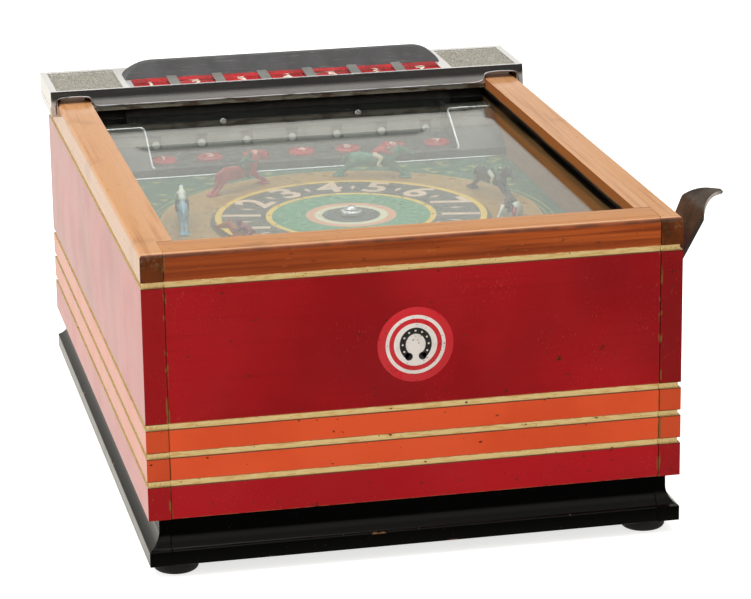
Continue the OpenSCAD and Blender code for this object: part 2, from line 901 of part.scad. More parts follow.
module release_guides() {
    color("gray") row_frame() chute_frame() difference() {
        both_sides() box(release_guide_x - release_guide_w / 2, release_guide_x + release_guide_w / 2,
            bar_n0 - 2.5, bar_n1 + 2.5, bar_bot - 2.5, chute_low);
        box(-in_hw, in_hw, bar_n0 - slide_gap, bar_n1 + slide_gap,
            bar_bot - slide_gap, bar_top + slide_gap);
    }
}

module release_bar() {
    tail_hw = 7;
    tail_top = ledge_z + bar_bot * cos(chute_lean) - (bar_n0 + bar_n1) / 2 * sin(chute_lean) + 0.8;
    tail_bot = shaft_z + 19;
    color("darkgray") row_frame() {
        chute_frame() difference() {
            box(bar_x0, bar_x1, bar_n0, bar_n1, bar_bot, bar_top);
            for (x = slot_xs)
                box(x - release_travel - coin_w / 2, x - release_travel + coin_w / 2,
                    chute_t - 0.3, chute_n1 + 0.3, bar_bot - cut, bar_top + cut);
        }
        difference() {
            box(release_pin_x - tail_hw, release_pin_x + tail_hw,
                release_tail_y, release_tail_y + tail_t, tail_bot, tail_top);
            box(release_pin_x - slot_hw, release_pin_x + slot_hw, release_tail_y - cut,
                release_tail_y + tail_t + cut, tail_bot - cut, shaft_z + release_r + pin_r + 1);
        }
    }
}

module cash_tray() {
    wall = 1.2;
    y1 = back_in - 7;
    y0 = y1 - tray_d;
    z0 = body_z + bottom_t;
    color("slategray") row_frame() difference() {
        box(-tray_hw, tray_hw, y0, y1, z0, z0 + tray_h);
        box(-tray_hw + wall, tray_hw - wall, y0 + wall, y1 - wall, z0 + wall, z0 + tray_h + cut);
    }
}

// Spindle, its bracket and the fixed dial

bracket_t = 3;
bracket_y = pitch_r + 1.25 * gear_m + rack_w + 3;
bracket_hw = 25;
bracket_foot = 15;

module mech_bracket() {
    low = base_top - base_t - bracket_t;
    color("darkslategray") row_frame() translate([0, wheel_y, 0]) {
        box(-bracket_hw, bracket_hw, -bracket_y, bracket_y, low, low + bracket_t);
        for (s = [-1, 1]) {
            leg_y = s > 0 ? bracket_y : -bracket_y - bracket_t;
            foot_y = s > 0 ? bracket_y : -bracket_y - bracket_foot;
            box(-bracket_hw, bracket_hw, leg_y, leg_y + bracket_t, low, board_bot);
            difference() {
                box(-bracket_hw, bracket_hw, foot_y, foot_y + bracket_foot,
                    board_bot - bracket_t, board_bot);
                translate([0, -wheel_y, 0]) at_bracket_screws() screw_hole(bracket_screw_l);
            }
        }
    }
}

post_flange = 9;
post_thread_l = 14;

module spindle_post() {
    color("lightsteelblue") row_frame() translate([0, wheel_y, 0]) difference() {
        union() {
            z_rod(0, 0, base_top - base_t, base_top, sleeve_r + post_flange);
            z_rod(0, 0, base_top - base_t, dial_bot, post_r);
            difference() {
                z_rod(0, 0, base_top - base_t, web_z - 0.1, sleeve_r + 5);
                z_rod(0, 0, base_top, web_z + cut, sleeve_r + 0.6);
            }
        }
        z_rod(0, 0, dial_bot - post_thread_l, dial_bot + cut, 2 + seat);
    }
}

module thrust_washer() {
    color("goldenrod") row_frame() translate([0, wheel_y, base_top]) difference() {
        cylinder(r = sleeve_r - 0.5, h = washer_t);
        translate([0, 0, -cut]) cylinder(r = post_r + run_fit, h = washer_t + 2 * cut);
    }
}

module dial_disc() {
    color("gold") row_frame() translate([0, wheel_y, dial_bot]) difference() {
        cylinder(r = dial_r, h = dial_t);
        translate([0, 0, -cut]) cylinder(r = 2 + seat, h = dial_t + 2 * cut);
    }
}

collar_r = 6.5;
collar_h = 3;

module dial_collar() {
    color("silver") row_frame() translate([0, wheel_y, dial_top]) difference() {
        rotate_extrude() polygon([[0, 0], [collar_r, 0], [collar_r, collar_h - 0.6],
            [collar_r - 0.6, collar_h], [0, collar_h]]);
        translate([0, 0, -cut]) cylinder(r = 2 + seat, h = collar_h + 2 * cut);
    }
}

module dial_screw() {
    color("silver") row_frame() translate([0, wheel_y, dial_top + collar_h]) difference() {
        union() {
            translate([0, 0, -collar_h - dial_t - 12]) cylinder(r = 2, h = collar_h + dial_t + 12);
            rotate_extrude() polygon([[0, 0], [3.65, 0], [3.5, 1], [2.6, 2.1], [1.2, 2.6], [0, 2.7]]);
        }
        rotate(35) box(-4, 4, -0.5, 0.5, 1.4, 4);
    }
}

// Horse wheel

rivet_r = 1.5;
rivet_head_r = 3;
rivet_head_h = 0.8;
rivet_tail_h = 1;
hub_rivet_ring = (sleeve_r + hub_r) / 2;

module at_hub_rivets() {
    for (i = [0 : 2])
        translate([0, wheel_y, 0]) rotate(i * 120) translate([hub_rivet_ring, 0, 0]) children();
}

module wheel_disc() {
    color("tan") row_frame() difference() {
        z_rod(0, wheel_y, wheel_bot, wheel_top, wheel_r);
        z_rod(0, wheel_y, wheel_bot - cut, wheel_top + cut, post_r + 2);
        at_hub_rivets() z_rod(0, 0, wheel_bot - cut, wheel_top + cut, rivet_r + seat);
    }
}

module wheel_hub() {
    color("goldenrod") row_frame() difference() {
        union() {
            z_rod(0, wheel_y, wheel_bot - hub_flange_t, wheel_bot, hub_r);
            z_rod(0, wheel_y, hub_bot, wheel_bot, sleeve_r);
        }
        z_rod(0, wheel_y, hub_bot - cut, wheel_bot + cut, post_r + run_fit);
        at_hub_rivets()
            z_rod(0, 0, wheel_bot - hub_flange_t - cut, wheel_bot + cut, rivet_r + seat);
    }
}

module hub_rivets() {
    low = wheel_bot - hub_flange_t;
    color("silver") row_frame() at_hub_rivets() {
        z_rod(0, 0, low - rivet_tail_h, wheel_top + rivet_head_h, rivet_r);
        z_rod(0, 0, wheel_top, wheel_top + rivet_head_h, rivet_head_r);
        z_rod(0, 0, low - rivet_tail_h, low, rivet_head_r);
    }
}

// Flat-cast horse and rider. A limb runs from [x, z, r] to [x, z, r] at one thickness.
module limb(a, b, t) {
    hull() for (p = [a, b])
        translate([p[0], t / 2, p[1]]) rotate([90, 0, 0]) cylinder(r = p[2], h = t, $fn = 16);
}

module foot_pad(x) {
    hull() for (s = [-3, 3]) translate([x + s, 0, 0]) cylinder(r = 3.2, h = 1, $fn = 24);
}

module horse_figure() {
    grown = horse_h / 22.4;
    half = pad_gap / 2 / grown;
    scale(grown) horse_limbs(half);
}

// Limbs of a horse that stands 22.4 high with its rider
module horse_limbs(half) {
    foot_pad(-half);
    foot_pad(half);
    limb([-9, 11.4, 4.7], [9, 10.8, 4.4], 6);
    limb([-10.5, 10.8, 4], [-15.3, 6.4, 1.8], 4.6);
    limb([-15.3, 6.4, 1.6], [-half, 1.4, 1.2], 3);
    limb([11.5, 8.8, 2.8], [17.5, 4.2, 1.5], 4);
    limb([17.5, 4.2, 1.4], [half + 2, 1.4, 1.2], 3);
    limb([10.5, 12.6, 3.6], [18.6, 18.2, 2.3], 4.4);
    limb([19, 18.6, 2.2], [26.2, 15.2, 1.4], 3.4);
    limb([-13.2, 13.4, 1.3], [-17.2, 9.8, 0.9], 2.2);
    limb([2.4, 15.6, 2.6], [8, 18.9, 2.4], 5);
    limb([2.6, 14.4, 2], [6.4, 12.2, 1.6], 7.4);
    limb([6.4, 12.2, 1.5], [4.8, 7.6, 1.2], 7.6);
    limb([8, 18, 1.2], [14, 16.2, 1.1], 5.6);
    limb([10.4, 20.2, 2], [10.9, 20.4, 2], 3.8);
}

module horse(i, tint) {
    color(tint) row_frame() translate([0, wheel_y, wheel_top])
        rotate(horse_a0 + (i - 1) * 360 / horse_n - 90) translate([0, horse_ring_r, 0])
            horse_figure();
}

module horse_1() { horse(1, "darkslategray"); }
module horse_2() { horse(2, "seagreen"); }
module horse_3() { horse(3, "indianred"); }
module horse_4() { horse(4, "lightblue"); }
module horse_5() { horse(5, "chocolate"); }
module horse_6() { horse(6, "goldenrod"); }
module horse_7() { horse(7, "whitesmoke"); }

// Drive: rack, pinion and one-way roller clutch

function involute(a) = tan(a) * 180 / PI - a;
function flank(r) = 90 / pinion_teeth - backlash / pitch_r * 180 / PI
    + involute(20) - involute(acos(min(1, base_r / r)));
function polar(r, a) = [r * cos(a), r * sin(a)];
flank_steps = 4;
flank_rs = concat([root_r], [for (i = [0 : flank_steps]) base_r + (tip_r - base_r) * i / flank_steps]);
function tooth(c) = concat([for (r = flank_rs) polar(r, c - flank(max(r, base_r)))],
    [for (i = [len(flank_rs) - 1 : -1 : 0])
        polar(flank_rs[i], c + flank(max(flank_rs[i], base_r)))]);
// A tooth space faces the rack at rest
gear_points = [for (i = [0 : pinion_teeth - 1], p = tooth(90 + (i + 0.5) * 360 / pinion_teeth)) p];

module drive_pinion() {
    color("peru") row_frame() translate([0, wheel_y, 0]) difference() {
        union() {
            translate([0, 0, gear_z]) linear_extrude(gear_top - gear_z) polygon(gear_points);
            z_rod(0, 0, web_z, gear_z, root_r - 0.6);
        }
        z_rod(0, 0, web_z - cut, gear_top + cut, sleeve_r + run_fit);
        z_rod(0, 0, gear_z, gear_top + cut, race_r);
    }
}

module clutch_cover() {
    color("gray") row_frame() translate([0, wheel_y, gear_top]) difference() {
        cylinder(r = root_r - 0.6, h = cover_t);
        translate([0, 0, -cut]) cylinder(r = sleeve_r + run_fit, h = cover_t + 2 * cut);
    }
}

module clutch_rollers() {
    color("silver") row_frame() for (i = [0 : 5])
        translate([0, wheel_y, gear_z + seat]) rotate(i * 60) translate([roller_ring_r, 0, 0])
            cylinder(r = roller_r, h = gear_top - gear_z - 2 * seat);
}

rack_tooth_min = -7;
rack_tooth_max = 3;

module rack_tooth(x) {
    half = rack_p / 4 - backlash;
    root = half + 1.25 * gear_m * tan(20);
    tip = half - gear_m * tan(20);
    line = wheel_y + pitch_r;
    translate([0, 0, rack_z]) linear_extrude(rack_h)
        polygon([[x - root, rack_y0 + 0.5], [x - root, rack_y0], [x - tip, line - gear_m],
            [x + tip, line - gear_m], [x + root, rack_y0], [x + root, rack_y0 + 0.5]]);
}

module rack_bar() {
    lug_hw = 7.2;
    lug_low = rack_z - 4;
    lug_top = shaft_z + drive_r + pin_r + 4.5;
    color("steelblue") row_frame() {
        box(rack_x0, drive_pin_x - lug_hw + cut, rack_y0, rack_y1, rack_z, rack_z + rack_h);
        for (k = [rack_tooth_min : rack_tooth_max]) rack_tooth(k * rack_p);
        x_rod(rack_mid_y, rack_mid_z, rack_x0 - cap_t, rack_x0, spring_r + 2);
        difference() {
            box(drive_pin_x - lug_hw, drive_pin_x + lug_hw, rack_y0, rack_y1, lug_low, lug_top);
            box(drive_pin_x - slot_hw, drive_pin_x + slot_hw, rack_y0 - cut, rack_y1 + cut,
                lug_low - cut, shaft_z + drive_r + pin_r + 1);
        }
    }
}

module rack_guides() {
    color("gray") row_frame() difference() {
        for (x = guide_xs)
            box(x, x + guide_l, rack_y0 - guide_wall, rack_y1 + guide_wall, rack_z - guide_wall, board_bot);
        box(rack_x0, in_hw, rack_y0 - slide_gap, rack_y1 + slide_gap,
            rack_z - slide_gap, rack_z + rack_h + slide_gap);
    }
}

// Compression spring between the left guide and the rack's end cap
spring_turns = 9;
spring_sides = 6;
spring_per_turn = 10;
spring_x0 = rack_x0 + wire_r + 0.3;
spring_x1 = guide_xs[1] - wire_r - 0.3;
spring_n = spring_turns * spring_per_turn;
function coil_point(i) = let (a = 360 * i / spring_per_turn)
    [spring_x0 + (spring_x1 - spring_x0) * i / spring_n,
     rack_mid_y + spring_r * cos(a), rack_mid_z + spring_r * sin(a)];
function coil_ring(i) = let (a = 360 * i / spring_per_turn)
    [for (j = [0 : spring_sides - 1]) let (b = 360 * j / spring_sides)
        coil_point(i) + wire_r * [sin(b), cos(b) * cos(a), cos(b) * sin(a)]];
coil_verts = [for (i = [0 : spring_n], p = coil_ring(i)) p];
coil_sides = [for (i = [0 : spring_n - 1], j = [0 : spring_sides - 1])
    let (k = (j + 1) % spring_sides, a = i * spring_sides, b = a + spring_sides)
    each [[a + j, b + j, b + k], [a + j, b + k, a + k]]];
coil_ends = [for (j = [1 : spring_sides - 2])
    each [[0, j, j + 1], [0, j + 1, j] + spring_n * spring_sides * [1, 1, 1]]];

module return_spring() {
    color("silver") row_frame() polyhedron(coil_verts, concat(coil_sides, coil_ends));
}

// Rock shaft with its bearings, arms and the play lever

module rock_shaft() {
    color("lightsteelblue") row_frame() y_rod(shaft_x, shaft_z, shaft_y0, shaft_y1, shaft_r);
}

module shaft_bearings() {
    color("gray") row_frame() difference() {
        for (y = bearing_ys) {
            box(shaft_x, in_hw, y, y + bearing_l, shaft_z - bearing_hh, shaft_z + bearing_hh);
            y_rod(shaft_x, shaft_z, y, y + bearing_l, arm_hub_r);
            box(in_hw - bearing_base_t, in_hw, y - bearing_ear, y + bearing_l + bearing_ear,
                shaft_z - bearing_down, shaft_z + bearing_up);
        }
        y_rod(shaft_x, shaft_z, 0, cab_d, shaft_r + run_fit);
        at_bearing_screws() screw_hole(wall_screw_l);
    }
}

module swing_arm(r, y0, pin_y0, pin_y1) {
    pin = [shaft_x - r * sin(swing2), shaft_z + r * cos(swing2)];
    difference() {
        along_y(y0, y0 + arm_t) {
            translate([shaft_x, shaft_z]) circle(arm_hub_r);
            stroke([shaft_x, shaft_z], pin, arm_w);
        }
        y_rod(shaft_x, shaft_z, y0 - cut, y0 + arm_t + cut, shaft_r + run_fit);
    }
    y_rod(pin[0], pin[1], pin_y0, pin_y1, pin_r);
}

module drive_arm() {
    color("darkgray") row_frame() swing_arm(drive_r, drive_arm_y, rack_y0, drive_arm_y + arm_t);
}

module release_arm() {
    color("darkgray") row_frame()
        swing_arm(release_r, release_arm_y, release_tail_y - 1, release_arm_y + arm_t);
}

module lever_outline() {
    low = shaft_z - arm_hub_r - cut;
    wide_z = strip_top[1] - taper_run * cos(lever_lean);
    arm = lever_arm_w / 2;
    wide = paddle_w / 2;
    translate([lever_y, 0]) polygon([[-arm, low], [arm, low], [arm, strip_foot[1]], [wide, wide_z],
        [wide, lever_top_z], [-wide, lever_top_z], [-wide, wide_z], [-arm, strip_foot[1]]]);
}

// Plan of the strip, drawn in to the tongue's tip
module lever_plan() {
    edge = concat([[shaft_x - 2 * arm_hub_r, paddle_w / 2]], taper_edge);
    last = lever_tip[0] + lever_t;
    translate([0, lever_y]) polygon(concat(edge, [[last, tip_hw], [last, -tip_hw]],
        [for (i = [len(edge) - 1 : -1 : 0]) [edge[i][0], -edge[i][1]]]));
}

module play_lever() {
    y0 = lever_y - paddle_w / 2 - cut;
    y1 = lever_y + paddle_w / 2 + cut;
    color("dimgray") row_frame() difference() {
        intersection() {
            along_y(y0, y1) {
                translate([shaft_x, shaft_z]) circle(arm_hub_r);
                for (i = [1 : len(lever_path) - 1]) stroke(lever_path[i - 1], lever_path[i], lever_t);
            }
            along_x(shaft_x - 2 * arm_hub_r, lever_tip[0] + 2 * lever_t) lever_outline();
            translate([0, 0, shaft_z - 2 * arm_hub_r])
                linear_extrude(lever_top_z - shaft_z + 2 * arm_hub_r) lever_plan();
        }
        y_rod(shaft_x, shaft_z, y0 - cut, y1 + cut, shaft_r + run_fit);
    }
}

// Back door with its hinges and lock

module at_hinge_line() {
    for (z = hinge_zs) translate([-door_hw, hinge_y, z]) children();
}

module knuckle(z0, z1) {
    difference() {
        z_rod(0, 0, z0, z1, hinge_r);
        z_rod(0, 0, z0 - cut, z1 + cut, hinge_pin_r + run_fit);
    }
}

third = hinge_l / 6;

module hinge_frame_leaves() {
    face = cab_d - hinge_y;
    color("darkgoldenrod") row_frame() at_hinge_line() {
        box(-leaf_w, -hinge_r - 0.4, face, face + leaf_t, -hinge_l / 2, hinge_l / 2);
        for (s = [-1, 1]) {
            z0 = s > 0 ? third : -hinge_l / 2;
            knuckle(z0, z0 + 2 * third);
            box(-hinge_r - 0.5, -hinge_pin_r - 0.4, face, face + leaf_t, z0, z0 + 2 * third);
        }
    }
}

module hinge_door_leaves() {
    face = cab_d - hinge_y;
    end = third - 0.2;
    color("darkgoldenrod") row_frame() at_hinge_line() {
        box(hinge_r + 0.4, leaf_w, face, face + leaf_t, -hinge_l / 2, hinge_l / 2);
        knuckle(-end, end);
        box(hinge_pin_r + 0.4, hinge_r + 0.5, face, face + leaf_t, -end, end);
    }
}

module hinge_pins() {
    color("goldenrod") row_frame() at_hinge_line() z_rod(0, 0, -hinge_l / 2, hinge_l / 2, hinge_pin_r);
}

module back_door() {
    color("saddlebrown") row_frame() difference() {
        box(-door_hw + door_gap, door_hw - door_gap, cab_d - door_t, cab_d,
            door_z + door_gap, door_z + door_h - door_gap);
        y_rod(lock_x, lock_z, cab_d - door_t - cut, cab_d + cut, lock_r + seat);
    }
}

lock_in = back_in + 0.5;
cam_y = back_in - 1;

module lock_housing() {
    color("silver") row_frame() difference() {
        union() {
            y_rod(lock_x, lock_z, lock_in, cab_d, lock_r);
            y_rod(lock_x, lock_z, cab_d, cab_d + 2, lock_r + 2.5);
        }
        y_rod(lock_x, lock_z, lock_in - cut, cab_d + 2 + cut, plug_r + run_fit);
    }
}

module lock_plug() {
    face = cab_d + 1.6;
    color("goldenrod") row_frame() difference() {
        y_rod(lock_x, lock_z, cam_y, face, plug_r);
        box(lock_x - 0.6, lock_x + 0.6, face - 8, face + cut, lock_z - 3, lock_z + 3);
    }
}

module lock_cam() {
    color("gray") row_frame() along_y(cam_y - cam_t, cam_y)
        stroke([lock_x, lock_z], [lock_x, lock_z + cam_l - 5], 10);
}

side_board_left();
side_board_right();
front_board();
back_board();
bottom_board();
plinth_front();
plinth_back();
plinth_left();
plinth_right();
rubber_feet();
wood_screws();
glass_pane();
play_board();
board_cleats();
coin_head();
coin_hood();
slot_inserts();
coin_apron();
number_discs();
chute_plate();
chute_ribs();
chute_back();
chute_screws();
release_guides();
cash_tray();
mech_bracket();
spindle_post();
thrust_washer();
dial_disc();
dial_collar();
dial_screw();
rack_guides();
shaft_bearings();
return_spring();
hinge_frame_leaves();
hinge_pins();
wheel_disc();
wheel_hub();
hub_rivets();
horse_1();
horse_2();
horse_3();
horse_4();
horse_5();
horse_6();
horse_7();
drive_pinion();
clutch_cover();
clutch_rollers();
rack_bar();
play_lever();
rock_shaft();
drive_arm();
release_arm();
release_bar();
back_door();
hinge_door_leaves();
lock_housing();
lock_plug();
lock_cam();
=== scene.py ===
"""Looks of a counter-top horse-race trade stimulator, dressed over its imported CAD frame."""

import json
import logging
import math
import random
from collections.abc import Iterable, Mapping, Sequence
from dataclasses import dataclass, field
from enum import Enum
from functools import cached_property, partial, reduce

import bmesh
import bpy
from mathutils import Matrix, Vector

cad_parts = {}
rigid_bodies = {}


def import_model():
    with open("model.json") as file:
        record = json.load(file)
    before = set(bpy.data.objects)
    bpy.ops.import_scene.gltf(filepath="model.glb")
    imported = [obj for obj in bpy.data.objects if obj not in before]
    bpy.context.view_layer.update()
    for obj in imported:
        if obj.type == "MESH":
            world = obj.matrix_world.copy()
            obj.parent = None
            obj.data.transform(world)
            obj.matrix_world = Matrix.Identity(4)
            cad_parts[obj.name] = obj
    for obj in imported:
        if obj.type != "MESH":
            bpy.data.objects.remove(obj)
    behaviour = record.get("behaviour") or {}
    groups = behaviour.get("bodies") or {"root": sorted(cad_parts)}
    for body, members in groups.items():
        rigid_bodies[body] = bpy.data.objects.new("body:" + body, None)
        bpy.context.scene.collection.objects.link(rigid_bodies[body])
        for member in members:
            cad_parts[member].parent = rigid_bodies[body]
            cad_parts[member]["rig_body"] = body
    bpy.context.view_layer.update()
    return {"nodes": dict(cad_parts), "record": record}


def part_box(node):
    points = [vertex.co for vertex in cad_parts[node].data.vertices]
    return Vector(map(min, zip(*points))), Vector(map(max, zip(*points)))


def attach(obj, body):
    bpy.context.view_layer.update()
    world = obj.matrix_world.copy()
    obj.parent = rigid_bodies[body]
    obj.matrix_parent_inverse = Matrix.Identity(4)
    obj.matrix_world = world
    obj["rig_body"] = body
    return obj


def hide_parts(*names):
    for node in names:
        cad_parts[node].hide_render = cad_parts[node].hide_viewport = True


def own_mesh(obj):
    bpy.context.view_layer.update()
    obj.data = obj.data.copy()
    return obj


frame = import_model()

NODES = frame["nodes"]
SLOT_OF = {part["node"]: part["material_slot"] for part in frame["record"]["subparts"]}
LOG = logging.getLogger("trade_stimulator")
MM = 0.001
WHEEL_MM = 174.5  # from the cabinet's front to the wheel's axis
PLACES = 7  # horses, entries and windows
Colour = tuple[float, float, float, float]
Pairs = tuple[tuple[float, float], ...]
Socket = bpy.types.NodeSocket
Node = bpy.types.Node
Object = bpy.types.Object
Mesh = bpy.types.Mesh
BMesh = bmesh.types.BMesh


def srgb(red: int, green: int, blue: int) -> Colour:
    """Turn display values into a linear colour.

    Args:
        red, green, blue: Display values from 0 to 255.

    Returns:
        The linear colour with an alpha of 1.
    """
    parts = [value / 255 for value in (red, green, blue)]
    linear = [p / 12.92 if p <= 0.04045 else ((p + 0.055) / 1.055) ** 2.4 for p in parts]
    return (*linear, 1.0)


class Axis(Enum):
    """The direction that a grain or brushing runs in."""

    X = 0
    Y = 1
    Z = 2

    def stretch(self, along: float, across: float) -> tuple[float, ...]:
        """Give a texture scale that is low along this axis and high across it."""
        return tuple(along if axis is self else across for axis in Axis)


@dataclass(frozen=True)
class Datum:
    """The cabinet's own reference: X from its middle, Y from its front face, Z from the counter, in mm."""

    x0: float
    y0: float

    @classmethod
    def from_frame(cls) -> "Datum":
        """Read the reference from the front board."""
        low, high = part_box("front_board")
        return cls((low.x + high.x) / 2, low.y)

    def at(self, x: float, y: float, z: float) -> Vector:
        """Give a cabinet point, in mm, in the row frame, in metres."""
        return Vector((self.x0 + x * MM, self.y0 + y * MM, z * MM))

    def place(self, x: float, y: float, z: float) -> Matrix:
        """Give the place of a piece whose foot stands on a cabinet point."""
        return Matrix.Translation(self.at(x, y, z))

    def box(self, node: str) -> list[Vector]:
        """Give the two corners of a CAD node's box in the cabinet's mm."""
        return [(corner - self.at(0, 0, 0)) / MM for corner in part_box(node)]


DATUM = Datum.from_frame()


class Graph:
    """A node tree, with short calls for the nodes that the finishes share."""

    def __init__(self, holder: bpy.types.ID, output: str = "ShaderNodeOutputMaterial") -> None:
        """Empty the tree of a material or a world, and give it an output.

        Args:
            holder: The material or world.
            output: The kind of output node.
        """
        holder.use_nodes = True
        self.tree = holder.node_tree
        self.tree.nodes.clear()
        self.output = self.tree.nodes.new(output)

    def node(self, kind: str, inputs: Mapping[int | str, object] | None = None, **settings: object) -> Node:
        """Add a node, and link each input or set it where its value is a plain one.

        Args:
            kind: The node's type.
            inputs: Values by the number or name of the input.
            settings: The node's own properties.

        Returns:
            The node.
        """
        made = self.tree.nodes.new(kind)
        for key, value in settings.items():
            setattr(made, key, value)
        for key, value in (inputs or {}).items():
            if isinstance(value, Socket):
                self.tree.links.new(value, made.inputs[key])
            else:
                made.inputs[key].default_value = value
        return made

    @cached_property
    def place(self) -> Socket:
        """Give the point in the object's own space, which is the row frame at rest."""
        return self.node("ShaderNodeTexCoord").outputs["Object"]

    @cached_property
    def xyz(self) -> list[Socket]:
        """Give that point's three parts."""
        return self.split(self.place)

    def split(self, vector: Socket) -> list[Socket]:
        """Give a vector's three parts."""
        return list(self.node("ShaderNodeSeparateXYZ", {0: vector}).outputs)

    def facing(self, axis: Axis) -> Socket:
        """Give the part of the surface's normal along an axis."""
        return self.split(self.node("ShaderNodeNewGeometry").outputs["Normal"])[axis.value]

    def calc(self, operation: str, first: object, second: object = 0.0) -> Socket:
        """Do one sum on two values."""
        return self.node("ShaderNodeMath", {0: first, 1: second}, operation=operation).outputs[0]

    def plus(self, *values: object) -> Socket:
        """Add values."""
        return reduce(partial(self.calc, "ADD"), values)

    def times(self, *values: object) -> Socket:
        """Multiply values."""
        return reduce(partial(self.calc, "MULTIPLY"), values)

    def inverse(self, value: Socket) -> Socket:
        """Turn 1 into 0 and 0 into 1."""
        return self.calc("SUBTRACT", 1.0, value)

    def rise(self, value: Socket, low: float, high: float, top: float = 1.0) -> Socket:
        """Rise smoothly from 0 at low to top at high."""
        inputs = dict(enumerate((value, low, high, 0.0, top)))
        return self.node("ShaderNodeMapRange", inputs, interpolation_type="SMOOTHSTEP").outputs[0]

    def span(self, value: Socket, low: float, high: float, soft: float) -> Socket:
        """Be 1 between low and high and 0 outside, with soft edges."""
        rises = [self.rise(value, level - soft, level + soft) for level in (low, high)]
        return self.calc("SUBTRACT", *rises)

    def noise(self, scale: float, stretch: Sequence[float] = (1, 1, 1), detail: float = 4,
              turn: Sequence[float] = (0, 0, 0), distortion: float = 0.0) -> Socket:
        """Give cloudy noise.

        Args:
            scale: Clouds per metre.
            stretch: Further scale along each axis.
            detail: Octaves of finer noise.
            turn: Rotation of the pattern in radians.
            distortion: How far the clouds are warped.

        Returns:
            A value of about 0.3 to 0.7.
        """
        mapping = {"Vector": self.place, "Rotation": turn, "Scale": [1 / part for part in stretch]}
        spot = self.node("ShaderNodeMapping", mapping, vector_type="TEXTURE").outputs[0]
        inputs = {"Vector": spot, "Scale": scale, "Detail": detail, "Distortion": distortion}
        return self.node("ShaderNodeTexNoise", inputs).outputs[0]

    def patches(self, scale: float, low: float, high: float, top: float = 1.0, **pattern: object) -> Socket:
        """Rise from 0 to top where cloudy noise goes from low to high."""
        return self.rise(self.noise(scale, **pattern), low, high, top)

    def pebbles(self, scale: float) -> Socket:
        """Give rounded cells, as a height."""
        inputs = {"Vector": self.place, "Scale": scale}
        return self.node("ShaderNodeTexVoronoi", inputs, feature="SMOOTH_F1").outputs["Distance"]

    def blend(self, factor: object, first: object, second: object) -> Socket:
        """Mix two colours."""
        return self.node("ShaderNodeMix", {0: factor, 6: first, 7: second}, data_type="RGBA").outputs[2]

    def ramp(self, factor: Socket, stops: Sequence[tuple[float, Colour]], flat: bool = False) -> Socket:
        """Turn a value into a colour along a row of stops.

        Args:
            factor: The value, from 0 to 1.
            stops: The colours with their places.
            flat: Whether each colour runs unchanged to the next stop.

        Returns:
            The colour.
        """
        made = self.node("ShaderNodeValToRGB", {0: factor})
        made.color_ramp.interpolation = "CONSTANT" if flat else "LINEAR"
        points = made.color_ramp.elements
        points.remove(points[1])
        points[0].position, points[0].color = stops[0]
        for place, colour in stops[1:]:
            points.new(place).color = colour
        return made.outputs[0]

    def bump(self, height: Socket, depth_mm: float) -> Socket:
        """Turn a height into relief of that depth."""
        inputs = {"Strength": 1.0, "Distance": depth_mm * MM, "Height": height}
        return self.node("ShaderNodeBump", inputs).outputs[0]

    def reach(self, centre: Vector, axes: tuple[Axis, Axis]) -> Socket:
        """Measure the distance from a centre line.

        Args:
            centre: A point on the line.
            axes: The two axes across it.

        Returns:
            The distance in mm.
        """
        offsets = [self.calc("SUBTRACT", self.xyz[axis.value], centre[axis.value]) for axis in axes]
        squares = self.plus(*(self.calc("POWER", offset, 2.0) for offset in offsets))
        return self.calc("DIVIDE", self.calc("SQRT", squares), MM)

    def shader(self, **inputs: object) -> Node:
        """Add the standard shader. An underscore in a name stands for a space."""
        named = {key.replace("_", " "): value for key, value in inputs.items()}
        return self.node("ShaderNodeBsdfPrincipled", named)

    def mixed(self, factor: Socket, first: Node, second: Node) -> Node:
        """Mix two shaders."""
        return self.node("ShaderNodeMixShader", {0: factor, 1: first.outputs[0], 2: second.outputs[0]})

    def show(self, shader: Node) -> None:
        """Link a shader to the output."""
        self.tree.links.new(shader.outputs[0], self.output.inputs["Surface"])

    def surface(self, **inputs: object) -> None:
        """Show the standard shader with these inputs."""
        self.show(self.shader(**inputs))


@dataclass(frozen=True)
class Finish:
    """A surface finish. Each kind adds the nodes for its colour, gloss and relief."""

    name: str

    def paint(self, graph: Graph) -> None:
        """Add this finish's nodes to a graph."""
        raise NotImplementedError

    def material(self) -> bpy.types.Material:
        """Make the material the first time, and give the same one after that.

        Returns:
            The material of this finish's name.
        """
        name = self.name + "_finish"
        made = bpy.data.materials.get(name)
        if made is None:
            made = bpy.data.materials.new(name)
            self.paint(Graph(made))
        return made


@dataclass(frozen=True)
class Enamel(Finish):
    """Brushed or sprayed paint with a little mottle, uneven gloss and fine scratches."""

    colour: Colour = (0.5, 0.5, 0.5, 1.0)
    shade: float = 0.6
    roughness: float = 0.3
    scratch: float = 0.15
    scratch_colour: Colour = (0.6, 0.58, 0.55, 1.0)
    grain: float = 350.0
    brush: Axis = Axis.Y
    skew: float = 0.5

    def paint(self, graph: Graph) -> None:
        """Mix the mottle, scratches and uneven gloss.

        Args:
            graph: The material's nodes.
        """
        dark = (*(part * self.shade for part in self.colour[:3]), 1.0)
        base = graph.blend(graph.patches(70, 0.35, 0.65, detail=6), dark, self.colour)
        lines = graph.noise(1, self.brush.stretch(60, 1600), 2, (self.skew, self.skew, self.skew))
        base = graph.blend(graph.rise(lines, 0.62, 0.72, self.scratch), base, self.scratch_colour)
        gloss = graph.plus(graph.patches(110, 0.3, 0.7, 0.25), self.roughness - 0.1)
        relief = graph.bump(graph.noise(self.grain, detail=2), 0.06)
        graph.surface(Base_Color=base, Roughness=gloss, Normal=relief)


